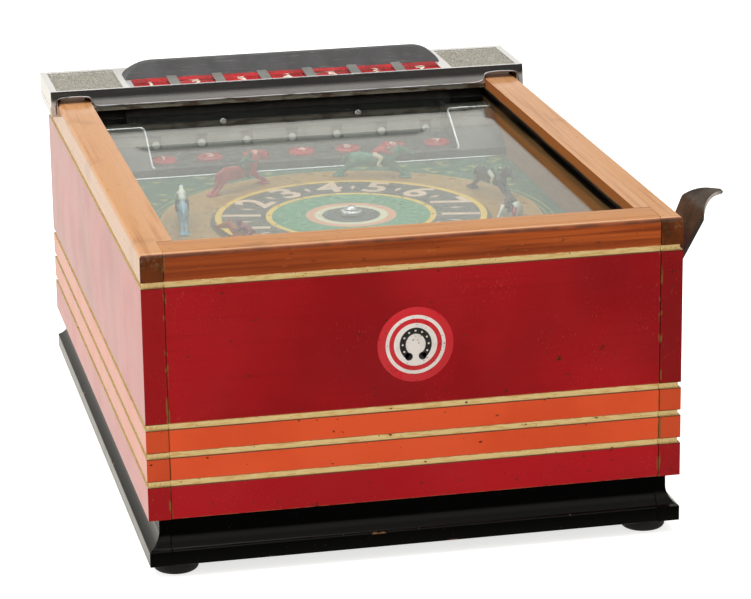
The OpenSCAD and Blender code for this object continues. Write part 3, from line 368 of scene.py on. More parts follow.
@dataclass(frozen=True)
class Timber(Finish):
    """Bare or varnished wood with its grain along one axis."""

    light: Colour = (0.5, 0.35, 0.2, 1.0)
    dark: Colour = (0.3, 0.2, 0.1, 1.0)
    grain: Axis = Axis.X
    roughness: float = 0.5

    def lines(self, graph: Graph, along: float, across: float, **pattern: float) -> Socket:
        """Give noise that is drawn out along the grain."""
        return graph.noise(1, self.grain.stretch(along, across), **pattern)

    def colour(self, graph: Graph) -> Socket:
        """Mix the grain's lines, the boards' slow change of tone and the pores.

        Args:
            graph: The material's nodes.

        Returns:
            The wood's colour.
        """
        lines = self.lines(graph, 9, 420, detail=5, distortion=0.4)
        slow = self.lines(graph, 4, 40, detail=3)
        tone = graph.plus(graph.times(lines, 0.6), graph.times(slow, 0.4))
        base = graph.ramp(tone, [(0.36, self.dark), (0.5, self.light), (0.66, self.light)])
        pores = graph.rise(self.lines(graph, 120, 2200, detail=1), 0.64, 0.72, 0.5)
        return graph.blend(pores, base, self.dark)

    def relief(self, graph: Graph) -> Socket:
        """Let the grain's lines stand a little proud."""
        return graph.bump(self.lines(graph, 9, 420, detail=5), 0.08)

    def paint(self, graph: Graph) -> None:
        """Show the wood with its grain."""
        graph.surface(Base_Color=self.colour(graph), Roughness=self.roughness, Normal=self.relief(graph))


@dataclass(frozen=True)
class CabinetPaint(Timber):
    """A cabinet board: varnished rail on top, gloss red below, orange bands between gold grooves."""

    light: Colour = srgb(200, 147, 102)
    dark: Colour = srgb(178, 119, 74)
    roughness: float = 0.14
    red: Colour = srgb(180, 20, 28)
    deep_red: Colour = srgb(152, 14, 22)
    low_red: Colour = srgb(208, 26, 38)
    orange: Colour = srgb(242, 92, 48)
    deep_orange: Colour = srgb(222, 76, 38)
    side_orange: Colour = srgb(212, 88, 34)
    gold: Colour = srgb(255, 230, 164)
    worn_gold: Colour = srgb(236, 190, 114)
    groove_line: Colour = srgb(86, 36, 16)
    scratch: Colour = srgb(216, 108, 86)
    bare: Colour = srgb(92, 40, 22)
    seam_dark: Colour = srgb(46, 24, 12)
    rubbed: Colour = srgb(136, 100, 50)
    stain: Colour = srgb(84, 46, 24)
    soil: Colour = srgb(84, 46, 20)
    front_tone: Colour = srgb(192, 88, 32)
    deep_front: Colour = srgb(140, 55, 18)
    fleck: Colour = srgb(206, 136, 62)
    end_grain: Colour = srgb(122, 60, 22)
    scuff: Colour = srgb(140, 116, 86)
    worn_edge: Colour = srgb(186, 100, 54)
    groove_mm: float = 3.2
    groove_drop_mm: float = 17.7
    groove_foot_mm: float = 21.0
    groove_step_mm: float = 16.45
    soft_mm: float = 0.15
    seam_mm: float = 139.8
    front_mm: tuple[float, float] = (0.3, 1.4)
    scratch_turns: tuple[tuple[float, float, float], ...] = (
        (0.2, 0.5, 0.1), (0.1, -0.9, 0.6), (0.5, 1.3, -0.4), (0.0, -0.3, 0.9))

    def groove_levels(self) -> list[float]:
        """Give the grooves' middle heights, from the top one down, in metres.

        Returns:
            One level near the rail and three by the orange bands.
        """
        low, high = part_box("front_board")
        steps = [self.groove_foot_mm + self.groove_step_mm * step for step in (2, 1, 0)]
        return [high.z - self.groove_drop_mm * MM] + [low.z + step * MM for step in steps]

    def facing_front(self, graph: Graph) -> Socket:
        """Be 1 on the front face."""
        near, far = (DATUM.y0 + depth * MM for depth in self.front_mm)
        return graph.inverse(graph.rise(graph.xyz[1], near, far))

    def from_middle(self, graph: Graph) -> Socket:
        """Give the distance to the left or right of the cabinet's middle."""
        return graph.calc("ABSOLUTE", graph.calc("SUBTRACT", graph.xyz[0], DATUM.x0))

    def banded(self, graph: Graph) -> Socket:
        """Lay the red, the orange bands and the gold grooves by height.

        Args:
            graph: The material's nodes.

        Returns:
            The paint's colour.
        """
        height = graph.xyz[2]
        levels = self.groove_levels()
        upper, lower = levels[1], levels[3]
        half, soft = self.groove_mm / 2 * MM, self.soft_mm * MM
        paint = graph.blend(graph.patches(9, 0.35, 0.65, detail=6), self.deep_red, self.red)
        streaks = graph.rise(self.lines(graph, 14, 420), 0.5, 0.75, 0.4)
        paint = graph.blend(streaks, paint, self.deep_red)
        below = graph.times(graph.inverse(graph.rise(height, lower - MM, lower)), 0.4)
        paint = graph.blend(below, paint, self.low_red)
        orange = graph.blend(graph.patches(26, 0.4, 0.7, 0.5), self.orange, self.deep_orange)
        # Side faces take a darker orange: painted shade that offsets the extra light they get from the left
        # lamp.
        sideways = graph.rise(graph.calc("ABSOLUTE", graph.facing(Axis.X)), 0.5, 0.8)
        orange = graph.blend(sideways, orange, self.side_orange)
        paint = graph.blend(graph.span(height, lower, upper, soft), paint, orange)
        brushed = graph.rise(self.lines(graph, 120, 900, detail=5), 0.48, 0.68, 0.8)
        gilt = graph.blend(brushed, self.gold, self.worn_gold)
        for level in levels:
            line = graph.span(height, level - half - 0.5 * MM, level + half + 0.4 * MM, soft)
            paint = graph.blend(line, paint, self.groove_line)
            paint = graph.blend(graph.span(height, level - half, level + half, soft), paint, gilt)
        return paint

    def worn(self, graph: Graph, paint: Socket) -> Socket:
        """Scratch and chip the paint.

        Args:
            graph: The material's nodes.
            paint: The paint's colour.

        Returns:
            The worn colour.
        """
        for turn in self.scratch_turns:
            lines = graph.patches(1, 0.7, 0.75, 0.4, stretch=(1900, 1900, 34), turn=turn, detail=1)
            area = graph.patches(14, 0.5, 0.62, turn=turn)
            paint = graph.blend(graph.times(lines, area), paint, self.scratch)
        chips = graph.patches(200, 0.7, 0.715, stretch=(1, 1, 1.6), detail=8)
        specks = graph.patches(900, 0.76, 0.78, detail=1)
        return graph.blend(specks, graph.blend(chips, paint, self.bare), self.bare)

    def seamed(self, graph: Graph, paint: Socket) -> Socket:
        """Break the paint along the seam between the front and side boards.

        Args:
            graph: The material's nodes.
            paint: The paint's colour.

        Returns:
            The colour with the seam.
        """
        side, facing, seam = self.from_middle(graph), self.facing_front(graph), self.seam_mm * MM
        line = graph.span(side, seam - 0.2 * MM, seam + 0.2 * MM, 0.15 * MM)
        paint = graph.blend(graph.times(line, facing, 0.8), paint, self.seam_dark)
        ends = graph.rise(side, seam, seam + 0.3 * MM, 0.2)
        paint = graph.blend(graph.times(ends, facing), paint, self.seam_dark)
        near = graph.span(side, seam - MM, seam + MM, 0.4 * MM)
        flecks = graph.patches(300, 0.52, 0.6, 0.9, stretch=(1, 1, 0.35), detail=5)
        return graph.blend(graph.times(near, facing, flecks), paint, self.rubbed)

    def end_grained(self, graph: Graph, wood: Socket) -> Socket:
        """Darken the end grain at the front corners and scuff it near the top.

        Args:
            graph: The material's nodes.
            wood: The rail's colour.

        Returns:
            The colour with its end grain.
        """
        top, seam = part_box("front_board")[1].z, self.seam_mm * MM
        high = graph.rise(graph.xyz[2], top - 11 * MM, top - 3 * MM, 0.75)
        scuffs = graph.times(graph.patches(420, 0.5, 0.66, 0.8, detail=9), high)
        ends = graph.blend(graph.patches(70, 0.4, 0.65), self.end_grain, self.soil)
        ends = graph.blend(scuffs, ends, self.scuff)
        outer = graph.rise(self.from_middle(graph), seam, seam + 0.3 * MM, 0.9)
        return graph.blend(graph.times(self.facing_front(graph), outer), wood, ends)

    def rail(self, graph: Graph) -> Socket:
        """Colour the varnished rail: pale where it is worn on top, red-brown on the front.

        Args:
            graph: The material's nodes.

        Returns:
            The rail's colour.
        """
        facing, seam = self.facing_front(graph), self.seam_mm * MM
        wood = graph.blend(graph.patches(26, 0.56, 0.76, 0.42, detail=7), self.colour(graph), self.stain)
        lines = graph.rise(self.lines(graph, 7, 300, detail=6, distortion=0.3), 0.38, 0.6)
        front = graph.blend(lines, self.deep_front, self.front_tone)
        soiled = graph.rise(graph.xyz[0], DATUM.x0 + seam, DATUM.x0 - seam, 0.55)
        front = graph.blend(soiled, front, self.deep_front)
        front = graph.blend(graph.rise(self.lines(graph, 200, 700), 0.66, 0.74, 0.4), front, self.fleck)
        wood = graph.blend(graph.times(facing, 0.94), wood, front)
        dents = graph.rise(self.lines(graph, 160, 420, detail=3), 0.69, 0.73, 0.45)
        wood = self.end_grained(graph, graph.blend(dents, wood, self.stain))
        edge = graph.times(graph.span(graph.facing(Axis.Z), 0.12, 0.95, 0.08), facing)
        grime = graph.plus(graph.patches(70, 0.36, 0.6, 0.4, detail=5), 0.4)
        return graph.blend(graph.times(edge, grime), wood, self.soil)

    def paint(self, graph: Graph) -> None:
        """Put the rail over the paint, soil the corners and rub the lower edges bare.

        Args:
            graph: The material's nodes.
        """
        facing, soft = self.facing_front(graph), self.soft_mm * MM
        brim = self.groove_levels()[0] + self.groove_mm / 2 * MM
        above = graph.rise(graph.xyz[2], brim - soft, brim + soft)
        base = graph.blend(above, self.worn(graph, self.banded(graph)), self.rail(graph))
        base = self.seamed(graph, base)
        sideways = graph.calc("ABSOLUTE", graph.facing(Axis.X))
        corner = graph.times(graph.span(sideways, 0.2, 0.95, 0.08), facing)
        grime = graph.patches(90, 0.42, 0.56, 0.75, stretch=(1, 1, 0.3), detail=5)
        base = graph.blend(graph.times(corner, grime), base, self.soil)
        underneath = graph.rise(graph.times(graph.facing(Axis.Z), -1.0), 0.15, 0.5)
        rubbed = graph.patches(140, 0.4, 0.55, 0.85, detail=6)
        base = graph.blend(graph.times(underneath, rubbed), base, self.worn_edge)
        bevel = graph.span(graph.facing(Axis.Z), 0.12, 0.95, 0.08)
        gloss = graph.plus(graph.patches(30, 0.3, 0.75, 0.05, detail=3), graph.times(bevel, facing, 0.5))
        graph.surface(Base_Color=base, Roughness=graph.plus(gloss, self.roughness))


@dataclass(frozen=True)
class InnerStain(Timber):
    """The brown stain inside the cabinet, black just over the pane with painted shade and old dirt."""

    light: Colour = srgb(150, 104, 66)
    dark: Colour = srgb(112, 72, 42)
    roughness: float = 0.8
    dirt: Colour = srgb(14, 7, 3)
    rail: Colour = srgb(158, 94, 46)
    dirty_mm: tuple[float, float] = (172.5, 181.5)

    def paint(self, graph: Graph) -> None:
        """Stain the wood by height, and blacken the band just over the pane as painted shade with old dirt.

        Args:
            graph: The material's nodes.
        """
        height = graph.xyz[2]
        low, high = (level * MM for level in self.dirty_mm)
        wood = graph.blend(graph.rise(height, high - MM, high + MM), self.colour(graph), self.rail)
        mottle = graph.patches(60, 0.3, 0.7, 1.2 * MM, stretch=self.grain.stretch(0.2, 1), detail=5)
        # Painted shade with some old dirt: the band from the pane up towards the rail is near-black, as in
        # the kerf's shadow.
        shaded = graph.span(graph.plus(height, mottle), low, high, 0.8 * MM)
        graph.surface(Base_Color=graph.blend(shaded, wood, self.dirt), Roughness=self.roughness,
                      Specular_IOR_Level=0.1, Normal=self.relief(graph))


@dataclass(frozen=True)
class PlinthPaint(Finish):
    """Gloss black paint on the plinth, chipped to the wood along its lower edges."""

    black: Colour = srgb(5, 5, 5)
    bare: Colour = srgb(118, 84, 56)
    dust: Colour = srgb(70, 67, 64)
    edge_mm: tuple[float, float] = (7.5, 16.0)

    def paint(self, graph: Graph) -> None:
        """Chip the two edges of the flat fascia, and dull the rest with dust.

        Args:
            graph: The material's nodes.
        """
        height = graph.xyz[2]
        low, high = (edge * MM for edge in self.edge_mm)
        rim = graph.plus(graph.span(height, low - MM, low + 0.8 * MM, 0.5 * MM),
                         graph.span(height, high - 0.5 * MM, high + 0.5 * MM, 0.4 * MM))
        chips = graph.times(rim, graph.patches(90, 0.65, 0.67, detail=8))
        base = graph.blend(chips, self.black, self.bare)
        base = graph.blend(graph.patches(500, 0.68, 0.76, 0.2), base, self.dust)
        gloss = graph.plus(graph.patches(80, 0.3, 0.7, 0.1, detail=5), 0.07)
        graph.surface(Base_Color=base, Roughness=gloss, Specular_IOR_Level=0.15,
                      Normal=graph.bump(graph.noise(90, detail=2), 0.03))


@dataclass(frozen=True)
class BareMetal(Finish):
    """Unpainted metal with a fine brushing along one axis and a little tarnish."""

    colour: Colour = (0.7, 0.7, 0.7, 1.0)
    tarnish: Colour = (0.35, 0.33, 0.3, 1.0)
    roughness: float = 0.3
    grain: Axis = Axis.X
    dull: float = 0.4
    clouds: tuple[float, float, float] = (90, 0.5, 0.75)
    cloud_detail: float = 6
    brushing: float = 2400
    brush_detail: float = 3
    relief_mm: float = 0.02

    def base(self, graph: Graph) -> Socket:
        """Cloud the metal with tarnish."""
        clouds = graph.patches(*self.clouds, self.dull, detail=self.cloud_detail)
        return graph.blend(clouds, self.colour, self.tarnish)

    def paint(self, graph: Graph) -> None:
        """Show the metal, and vary its gloss along the brushing.

        Args:
            graph: The material's nodes.
        """
        lines = graph.noise(1, self.grain.stretch(60, self.brushing), self.brush_detail)
        gloss = graph.plus(graph.rise(lines, 0.3, 0.7, 0.2), self.roughness - 0.1)
        graph.surface(Base_Color=self.base(graph), Metallic=1.0, Roughness=gloss,
                      Normal=graph.bump(lines, self.relief_mm))


@dataclass(frozen=True)
class LeverSteel(BareMetal):
    """Dark worn steel, rubbed bright along the edges of the strip."""

    rubbed: Colour = srgb(196, 188, 184)
    clouds: tuple[float, float, float] = (60, 0.3, 0.7)
    cloud_detail: float = 7
    brushing: float = 900
    brush_detail: float = 4
    relief_mm: float = 0.03

    def base(self, graph: Graph) -> Socket:
        """Brighten the cut edges of the tarnished strip."""
        edges = graph.rise(graph.calc("ABSOLUTE", graph.facing(Axis.Y)), 0.3, 0.8, 0.85)
        return graph.blend(edges, super().base(graph), self.rubbed)


@dataclass(frozen=True)
class HeadCasting(Finish):
    """Polished aluminium with sand-cast panels sunk in its top and a rusty flange under its front."""

    bright: Colour = srgb(238, 238, 240)
    cloudy: Colour = srgb(190, 188, 186)
    panel: Colour = srgb(201, 198, 187)
    pits: Colour = srgb(116, 113, 104)
    flange: Colour = srgb(150, 146, 134)
    rust: Colour = srgb(82, 52, 34)
    sink_mm: float = 0.6
    lip_rise_mm: float = 4.8
    lip_set_mm: float = 2.0

    def under_lip(self, graph: Graph) -> Socket:
        """Be 1 on the flange that stands back under the front's lip.

        Args:
            graph: The material's nodes.

        Returns:
            The flange's mask.
        """
        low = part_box("coin_head")[0]
        lip = low.z + self.lip_rise_mm * MM
        back = graph.span(graph.xyz[1], low.y + (self.lip_set_mm - 0.4) * MM, low.y + 6 * MM, 0.1 * MM)
        return graph.times(back, graph.inverse(graph.rise(graph.xyz[2], lip + 0.5 * MM, lip + 0.9 * MM)))

    def paint(self, graph: Graph) -> None:
        """Polish the rims, pit the panels and rust the flange, and make the front and upward faces partly
        diffuse as a painted sheen.

        Args:
            graph: The material's nodes.
        """
        low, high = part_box("coin_head")
        height, lip = graph.xyz[2], low.z + self.lip_rise_mm * MM
        upward = graph.rise(graph.facing(Axis.Z), 0.7, 0.9)
        sunk = graph.rise(height, high.z - self.sink_mm * MM, high.z - 0.3 * MM)
        panel = graph.times(upward, graph.inverse(sunk))
        base = graph.blend(graph.patches(60, 0.5, 0.75, 0.3, detail=6), self.bright, self.cloudy)
        base = graph.blend(graph.rise(graph.facing(Axis.Y), 0.6, 0.9, 0.6), base, self.flange)
        sand = graph.blend(graph.patches(1300, 0.42, 0.62, detail=3), self.pits, self.panel)
        base = graph.blend(panel, base, sand)
        under = self.under_lip(graph)
        spots = graph.patches(1, 0.5, 0.62, 0.8, stretch=(90, 300, 300), detail=6)
        base = graph.blend(under, base, graph.blend(spots, self.flange, self.rust))
        edge = graph.span(height, lip - 0.2 * MM, lip + MM, 0.4 * MM)
        soiled = graph.patches(1, 0.44, 0.58, 0.7, stretch=(50, 200, 200), detail=6)
        base = graph.blend(graph.times(edge, soiled), base, self.rust)
        dull = graph.calc("MAXIMUM", panel, under)
        polish = graph.patches(1, 0.3, 0.7, 0.08, stretch=(40, 900, 900))
        gloss = graph.plus(polish, graph.times(dull, 0.45), 0.06)
        # Front faces above the foot and all upward faces lose part of their metal: a painted sheen,
        # standing in for the room and sky that they reflect.
        foot = graph.rise(height, low.z + 8 * MM, low.z + 11.5 * MM)
        forward = graph.rise(graph.times(graph.facing(Axis.Y), -1.0), 0.8, 0.95)
        worn = graph.times(forward, graph.inverse(foot), 0.4)
        painted_sheen = graph.calc("MAXIMUM", worn, graph.times(upward, 0.5))
        metal = graph.inverse(graph.calc("MAXIMUM", graph.times(dull, 0.7), painted_sheen))
        grit = graph.bump(graph.times(graph.pebbles(900), panel), 0.35)
        graph.surface(Base_Color=base, Metallic=metal, Roughness=gloss, Normal=grit)


@dataclass(frozen=True)
class ApronCasting(Finish):
    """Satin aluminium of the coin apron, with faint casting marks."""

    bright: Colour = srgb(88, 85, 78)
    dull: Colour = srgb(60, 57, 52)
    roughness: float = 0.3
    metal: float = 0.6

    def base(self, graph: Graph) -> Socket:
        """Cloud the satin."""
        return graph.blend(graph.patches(40, 0.4, 0.7, 0.8, detail=7), self.bright, self.dull)

    def paint(self, graph: Graph) -> None:
        """Show the casting with fine grit."""
        gloss = graph.plus(graph.patches(160, 0.3, 0.7, 0.25), self.roughness)
        graph.surface(Base_Color=self.base(graph), Metallic=self.metal, Roughness=gloss,
                      Normal=graph.bump(graph.noise(900, detail=2), 0.05))


@dataclass(frozen=True)
class ChuteCasting(ApronCasting):
    """The chutes' casting: bare by the windows, and black above them as a painted shadow of the head."""

    bright: Colour = srgb(114, 112, 104)
    dull: Colour = srgb(86, 84, 77)
    roughness: float = 0.42
    metal: float = 0.2
    soot: Colour = srgb(26, 23, 18)
    clean_below_mm: float = 164.0

    def base(self, graph: Graph) -> Socket:
        """Blacken the part above the windows: a painted shadow of the coin head."""
        low, high = ((self.clean_below_mm + step) * MM for step in (-0.4, 0.4))
        # Above the windows the casting turns near-black, a painted shadow of the coin head.
        return graph.blend(graph.rise(graph.xyz[2], low, high), super().base(graph), self.soot)


@dataclass(frozen=True)
class FootRubber(Finish):
    """Matt black rubber with a bloom of dust."""

    black: Colour = srgb(20, 20, 20)
    dust: Colour = srgb(58, 56, 53)

    def paint(self, graph: Graph) -> None:
        """Dust the rubber and pit it finely."""
        base = graph.blend(graph.patches(120, 0.45, 0.75, 0.5, detail=6), self.black, self.dust)
        graph.surface(Base_Color=base, Roughness=0.75, Normal=graph.bump(graph.noise(1500), 0.05))


@dataclass(frozen=True)
class PaneGlass(Finish):
    """Clear old glass with a trace of green and a few dust specks."""

    tint: Colour = srgb(243, 249, 246)

    def paint(self, graph: Graph) -> None:
        """Let shadow rays through, so that what lies under the glass is lit.

        Args:
            graph: The material's nodes.
        """
        specks = graph.patches(420, 0.72, 0.78, 0.25, detail=2)
        clear = graph.shader(Base_Color=self.tint, Roughness=specks, IOR=1.5, Transmission_Weight=1.0)
        through = graph.node("ShaderNodeBsdfTransparent", {0: self.tint})
        path = graph.node("ShaderNodeLightPath").outputs
        soft = graph.calc("MAXIMUM", path["Is Shadow Ray"], path["Is Diffuse Ray"])
        graph.show(graph.mixed(soft, clear, through))


@dataclass(frozen=True)
class RingPaint(Finish):
    """Printed rings of flat colour about a centre, a little worn."""

    centre: Vector = field(default_factory=Vector)
    rings: tuple[tuple[float, Colour], ...] = ()
    outer_mm: float = 100.0
    axes: tuple[Axis, Axis] = (Axis.X, Axis.Y)
    roughness: float = 0.35
    wear: float = 0.25
    age: Colour = srgb(92, 74, 48)
    speck: Colour = srgb(56, 44, 28)

    def paint(self, graph: Graph) -> None:
        """Pick each ring's colour by its distance from the centre, and age it.

        Args:
            graph: The material's nodes.
        """
        reach = graph.calc("DIVIDE", graph.reach(self.centre, self.axes), self.outer_mm)
        base = graph.ramp(reach, [(radius / self.outer_mm, colour) for radius, colour in self.rings], True)
        base = graph.blend(graph.patches(130, 0.45, 0.75, self.wear, detail=7), base, self.age)
        base = graph.blend(graph.patches(700, 0.70, 0.75, 0.7, detail=1), base, self.speck)
        gloss = graph.plus(graph.patches(90, 0.3, 0.7, 0.2), self.roughness - 0.1)
        graph.surface(Base_Color=base, Roughness=gloss, Normal=graph.bump(graph.noise(500), 0.03))


class Palette:
    """The finishes that more than one piece uses."""

    steel = BareMetal("oiled_steel", srgb(150, 150, 152), roughness=0.38)
    screw = BareMetal("plated_screw", srgb(196, 196, 194), roughness=0.25, grain=Axis.Y)
    brass = BareMetal("plain_brass", srgb(198, 158, 86), srgb(112, 82, 40), 0.3)
    chrome = BareMetal("bright_chrome", srgb(226, 226, 228), srgb(150, 150, 150), 0.16, dull=0.2)
    aluminium = BareMetal("polished_aluminium", srgb(222, 222, 224), srgb(150, 150, 150), 0.2, dull=0.3)
    worn_lip = BareMetal("worn_lip_aluminium", srgb(158, 158, 162), srgb(70, 62, 54), 0.3, dull=0.9)
    apron = ApronCasting("apron_casting")
    chute = ChuteCasting("chute_casting")
    dome = BareMetal("dark_dome_steel", srgb(176, 176, 176), srgb(80, 78, 74), 0.14)
    coin_pad = Enamel("pale_coin_pad", srgb(204, 203, 194), 0.8, 0.4, 0.1)
    fin = Enamel("entry_fin_paint", srgb(126, 125, 122), 0.8, 0.5, 0.2)
    red_enamel = Enamel("red_enamel", srgb(196, 22, 30), 0.62, 0.24, 0.12)
    number_ink = Enamel("pale_number_ink", srgb(238, 214, 200), 0.85, 0.5, 0.0)
    line_ink = Enamel("straw_line_ink", srgb(206, 190, 112), 0.7, 0.55, 0.0)
    cream_ink = Enamel("cream_ink", srgb(240, 232, 214), 0.85, 0.45, 0.0)


def linked(name: str, data: bpy.types.ID) -> Object:
    """Make an object and put it in the scene.

    Args:
        name: Its name.
        data: Its mesh, curve, camera or lamp.

    Returns:
        The object.
    """
    made = bpy.data.objects.new(name, data)
    bpy.context.scene.collection.objects.link(made)
    return made


def mesh_of(name: str, bm: BMesh, smooth: float = math.radians(40)) -> Mesh:
    """Turn a bmesh into a mesh, shaded smooth below an angle.

    Args:
        name: The mesh's name.
        bm: The bmesh, which is used up.
        smooth: The angle.

    Returns:
        The mesh.
    """
    mesh = bpy.data.meshes.new(name)
    bm.to_mesh(mesh)
    bm.free()
    mesh.shade_smooth()
    mesh.set_sharp_from_angle(angle=smooth)
    return mesh


def skin(bm: BMesh, rows: Sequence[Sequence[Vector]]) -> None:
    """Add a closed solid through rows of points. A row of one point is a pole.

    Args:
        bm: The mesh to add to.
        rows: The points round the solid, row by row from end to end.
    """
    rings = [[bm.verts.new(point) for point in row] for row in rows]
    sides = max(len(ring) for ring in rings)
    for low, high in zip(rings, rings[1:]):
        for k in range(sides):
            m = (k + 1) % sides
            corners = [low[k % len(low)], low[m % len(low)], high[m % len(high)], high[k % len(high)]]
            bm.faces.new(list(dict.fromkeys(corners)))
    for cap in (rings[0][::-1], rings[-1]):
        if len(cap) > 1:
            bm.faces.new(cap)


def angles(count: int) -> list[float]:
    """Divide a full turn."""
    return [math.tau * k / count for k in range(count)]


def headings(points: Sequence[Vector]) -> list[Vector]:
    """Give the way that a line runs at each of its points."""
    last = len(points) - 1
    return [points[min(k + 1, last)] - points[max(k - 1, 0)] for k in range(last + 1)]


def tube(bm: BMesh, points: Sequence[Vector], radius: float, sides: int = 10) -> None:
    """Add a round closed tube along a line of points.

    Args:
        bm: The mesh to add to.
        points: The line, in metres.
        radius: The tube's radius in metres.
        sides: Sides round the tube.
    """
    circle = [Vector((math.cos(a), math.sin(a), 0)) for a in angles(sides)]
    turns = [ahead.to_track_quat("Z", "Y").to_matrix() for ahead in headings(points)]
    skin(bm, [[point + turn @ spot * radius for spot in circle] for point, turn in zip(points, turns)])


def slab(bm: BMesh, outline: Sequence[Vector], rise: Vector) -> None:
    """Add a closed slab: an outline pushed along a vector."""
    skin(bm, (outline, [point + rise for point in outline]))


def stroke(bm: BMesh, points: Sequence[Vector], width: float, rise: Vector) -> None:
    """Add a flat painted stroke of even width along a line of points.

    Args:
        bm: The mesh to add to.
        points: The line, in metres, on a flat surface.
        width: The stroke's width in metres.
        rise: The paint's thickness, along the surface's normal.
    """
    normal = rise.normalized()
    sides = [normal.cross(ahead).normalized() * width / 2 for ahead in headings(points)]
    left = [point + side for point, side in zip(points, sides)]
    right = [point - side for point, side in zip(points, sides)]
    slab(bm, left + right[::-1], rise)


def spun(bm: BMesh, profile: Pairs, place: Matrix, sides: int = 48) -> None:
    """Add a turned solid: a profile of (radius, height) in mm, from axis to axis, spun about local Z.

    Args:
        bm: The mesh to add to.
        profile: Points from the lower pole to the upper pole.
        place: Where the solid's foot goes, in metres.
        sides: Steps round the turn.
    """
    rows = []
    for radius, height in profile:
        turns = angles(sides if radius else 1)
        spots = [Vector((radius * math.cos(a), radius * math.sin(a), height)) * MM for a in turns]
        rows.append([place @ spot for spot in spots])
    skin(bm, rows)


def button(radius: float, height: float) -> Pairs:
    """Give the profile of a plain flat button."""
    return (0, 0), (radius, 0), (radius, height), (0, height)


def flowed(points: Sequence[Vector], rounds: int = 3) -> list[Vector]:
    """Round the corners of a line of points by cutting them again and again.

    Args:
        points: The line.
        rounds: How often it is cut.

    Returns:
        The rounded line, with the same ends.
    """
    line = list(points)
    for _ in range(rounds):
        cut = [line[0]]
        for first, second in zip(line, line[1:]):
            cut += [first.lerp(second, 0.25), first.lerp(second, 0.75)]
        line = cut + [line[-1]]
    return line


def both_sides(right: Sequence[tuple[float, ...]]) -> list[tuple[float, ...]]:
    """Lead a line from the left through X 0 to the right, given its right half."""
    return [(-x, *rest) for x, *rest in right[:0:-1]] + list(right)


def round_wheel(turn: float, reach_mm: float, level_mm: float) -> Matrix:
    """Give a place round the wheel's axis, at a turn, a reach and a height, with local Y outward."""
    spin = DATUM.place(0, WHEEL_MM, level_mm) @ Matrix.Rotation(turn, 4, "Z")
    return spin @ Matrix.Translation(Vector((0, reach_mm, 0)) * MM)


@dataclass(frozen=True)
class NumberStyle:
    """How a set of numbers is printed: size, ink, slot, extra weight, thickness and body."""

    size_mm: float
    ink: Finish
    slot: str
    swell_mm: float
    raise_mm: float
    body: str = "cabinet"


class SubAssembly:
    """Shared bench work: copying, dressing and making pieces that ride on a CAD body."""

    bevel_angle = math.radians(32)
    flat_angle = math.radians(0.5)
    weld_mm = 0.002

    def new_piece(self, name: str, mesh: Mesh, finish: Finish, slot: str, body: str = "cabinet") -> Object:
        """Make a piece from a mesh in the row frame, set it on its body and report it.

        Args:
            name: The piece's name.
            mesh: Its mesh.
            finish: Its finish.
            slot: The record's material slot. It is not used.
            body: The CAD body it rides on.

        Returns:
            The piece.
        """
        mesh.materials.clear()
        mesh.materials.append(finish.material())
        piece = linked(name, mesh)
        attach(piece, body)
        LOG.info("%s: %s on %s", type(self).__name__, piece.name, body)
        return piece

    def from_bmesh(self, name: str, bm: BMesh, finish: Finish, slot: str) -> Object:
        """Make a piece of the cabinet from a bmesh."""
        bmesh.ops.recalc_face_normals(bm, faces=bm.faces)
        return self.new_piece(name, mesh_of(name, bm), finish, slot)

    def ease(self, piece: Object, width_mm: float, segments: int) -> None:
        """Ease the sharp edges of a piece.

        Args:
            piece: The piece.
            width_mm: Width of the eased edges.
            segments: Steps across an eased edge.
        """
        bevel = piece.modifiers.new("eased_edges", "BEVEL")
        bevel.width = width_mm * MM
        bevel.segments = segments
        bevel.limit_method = "ANGLE"
        bevel.angle_limit = self.bevel_angle
        bevel.harden_normals = True

    def eased(self, node: str, finish: Finish, ease_mm: float, segments: int = 2) -> Object:
        """Stand a copy with eased edges in for a CAD node.

        Args:
            node: The CAD node.
            finish: The finish of the copy.
            ease_mm: Width of the eased edges.
            segments: Steps across an eased edge.

        Returns:
            The piece that is shown in the node's place.
        """
        bm = bmesh.new()
        bm.from_mesh(NODES[node].data)
        bmesh.ops.remove_doubles(bm, verts=bm.verts, dist=self.weld_mm * MM)
        bmesh.ops.dissolve_limit(bm, angle_limit=self.flat_angle, verts=bm.verts, edges=bm.edges)
        name = node + "_finished"
        mesh = mesh_of(name, bm, self.bevel_angle)
        piece = self.new_piece(name, mesh, finish, SLOT_OF[node], NODES[node]["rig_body"])
        self.ease(piece, ease_mm, segments)
        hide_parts(node)
        return piece

    def numeral(self, name: str, text: str, place: Matrix, style: NumberStyle) -> None:
        """Make a raised number.

        Args:
            name: The piece's name.
            text: The digits.
            place: Where its middle goes, with its face along local Z.
            style: How it is printed.
        """
        curve = bpy.data.curves.new(name, "FONT")
        curve.body = text
        curve.size = style.size_mm * MM
        curve.align_x = "CENTER"
        curve.align_y = "CENTER"
        curve.extrude = style.raise_mm / 2 * MM
        curve.offset = style.swell_mm * MM
        holder = linked(name + "_type", curve)
        bpy.context.view_layer.update()
        mesh = bpy.data.meshes.new_from_object(holder)
        bpy.data.objects.remove(holder)
        mesh.transform(place)
        mesh.name = name
        self.new_piece(name, mesh, style.ink, style.slot, style.body)


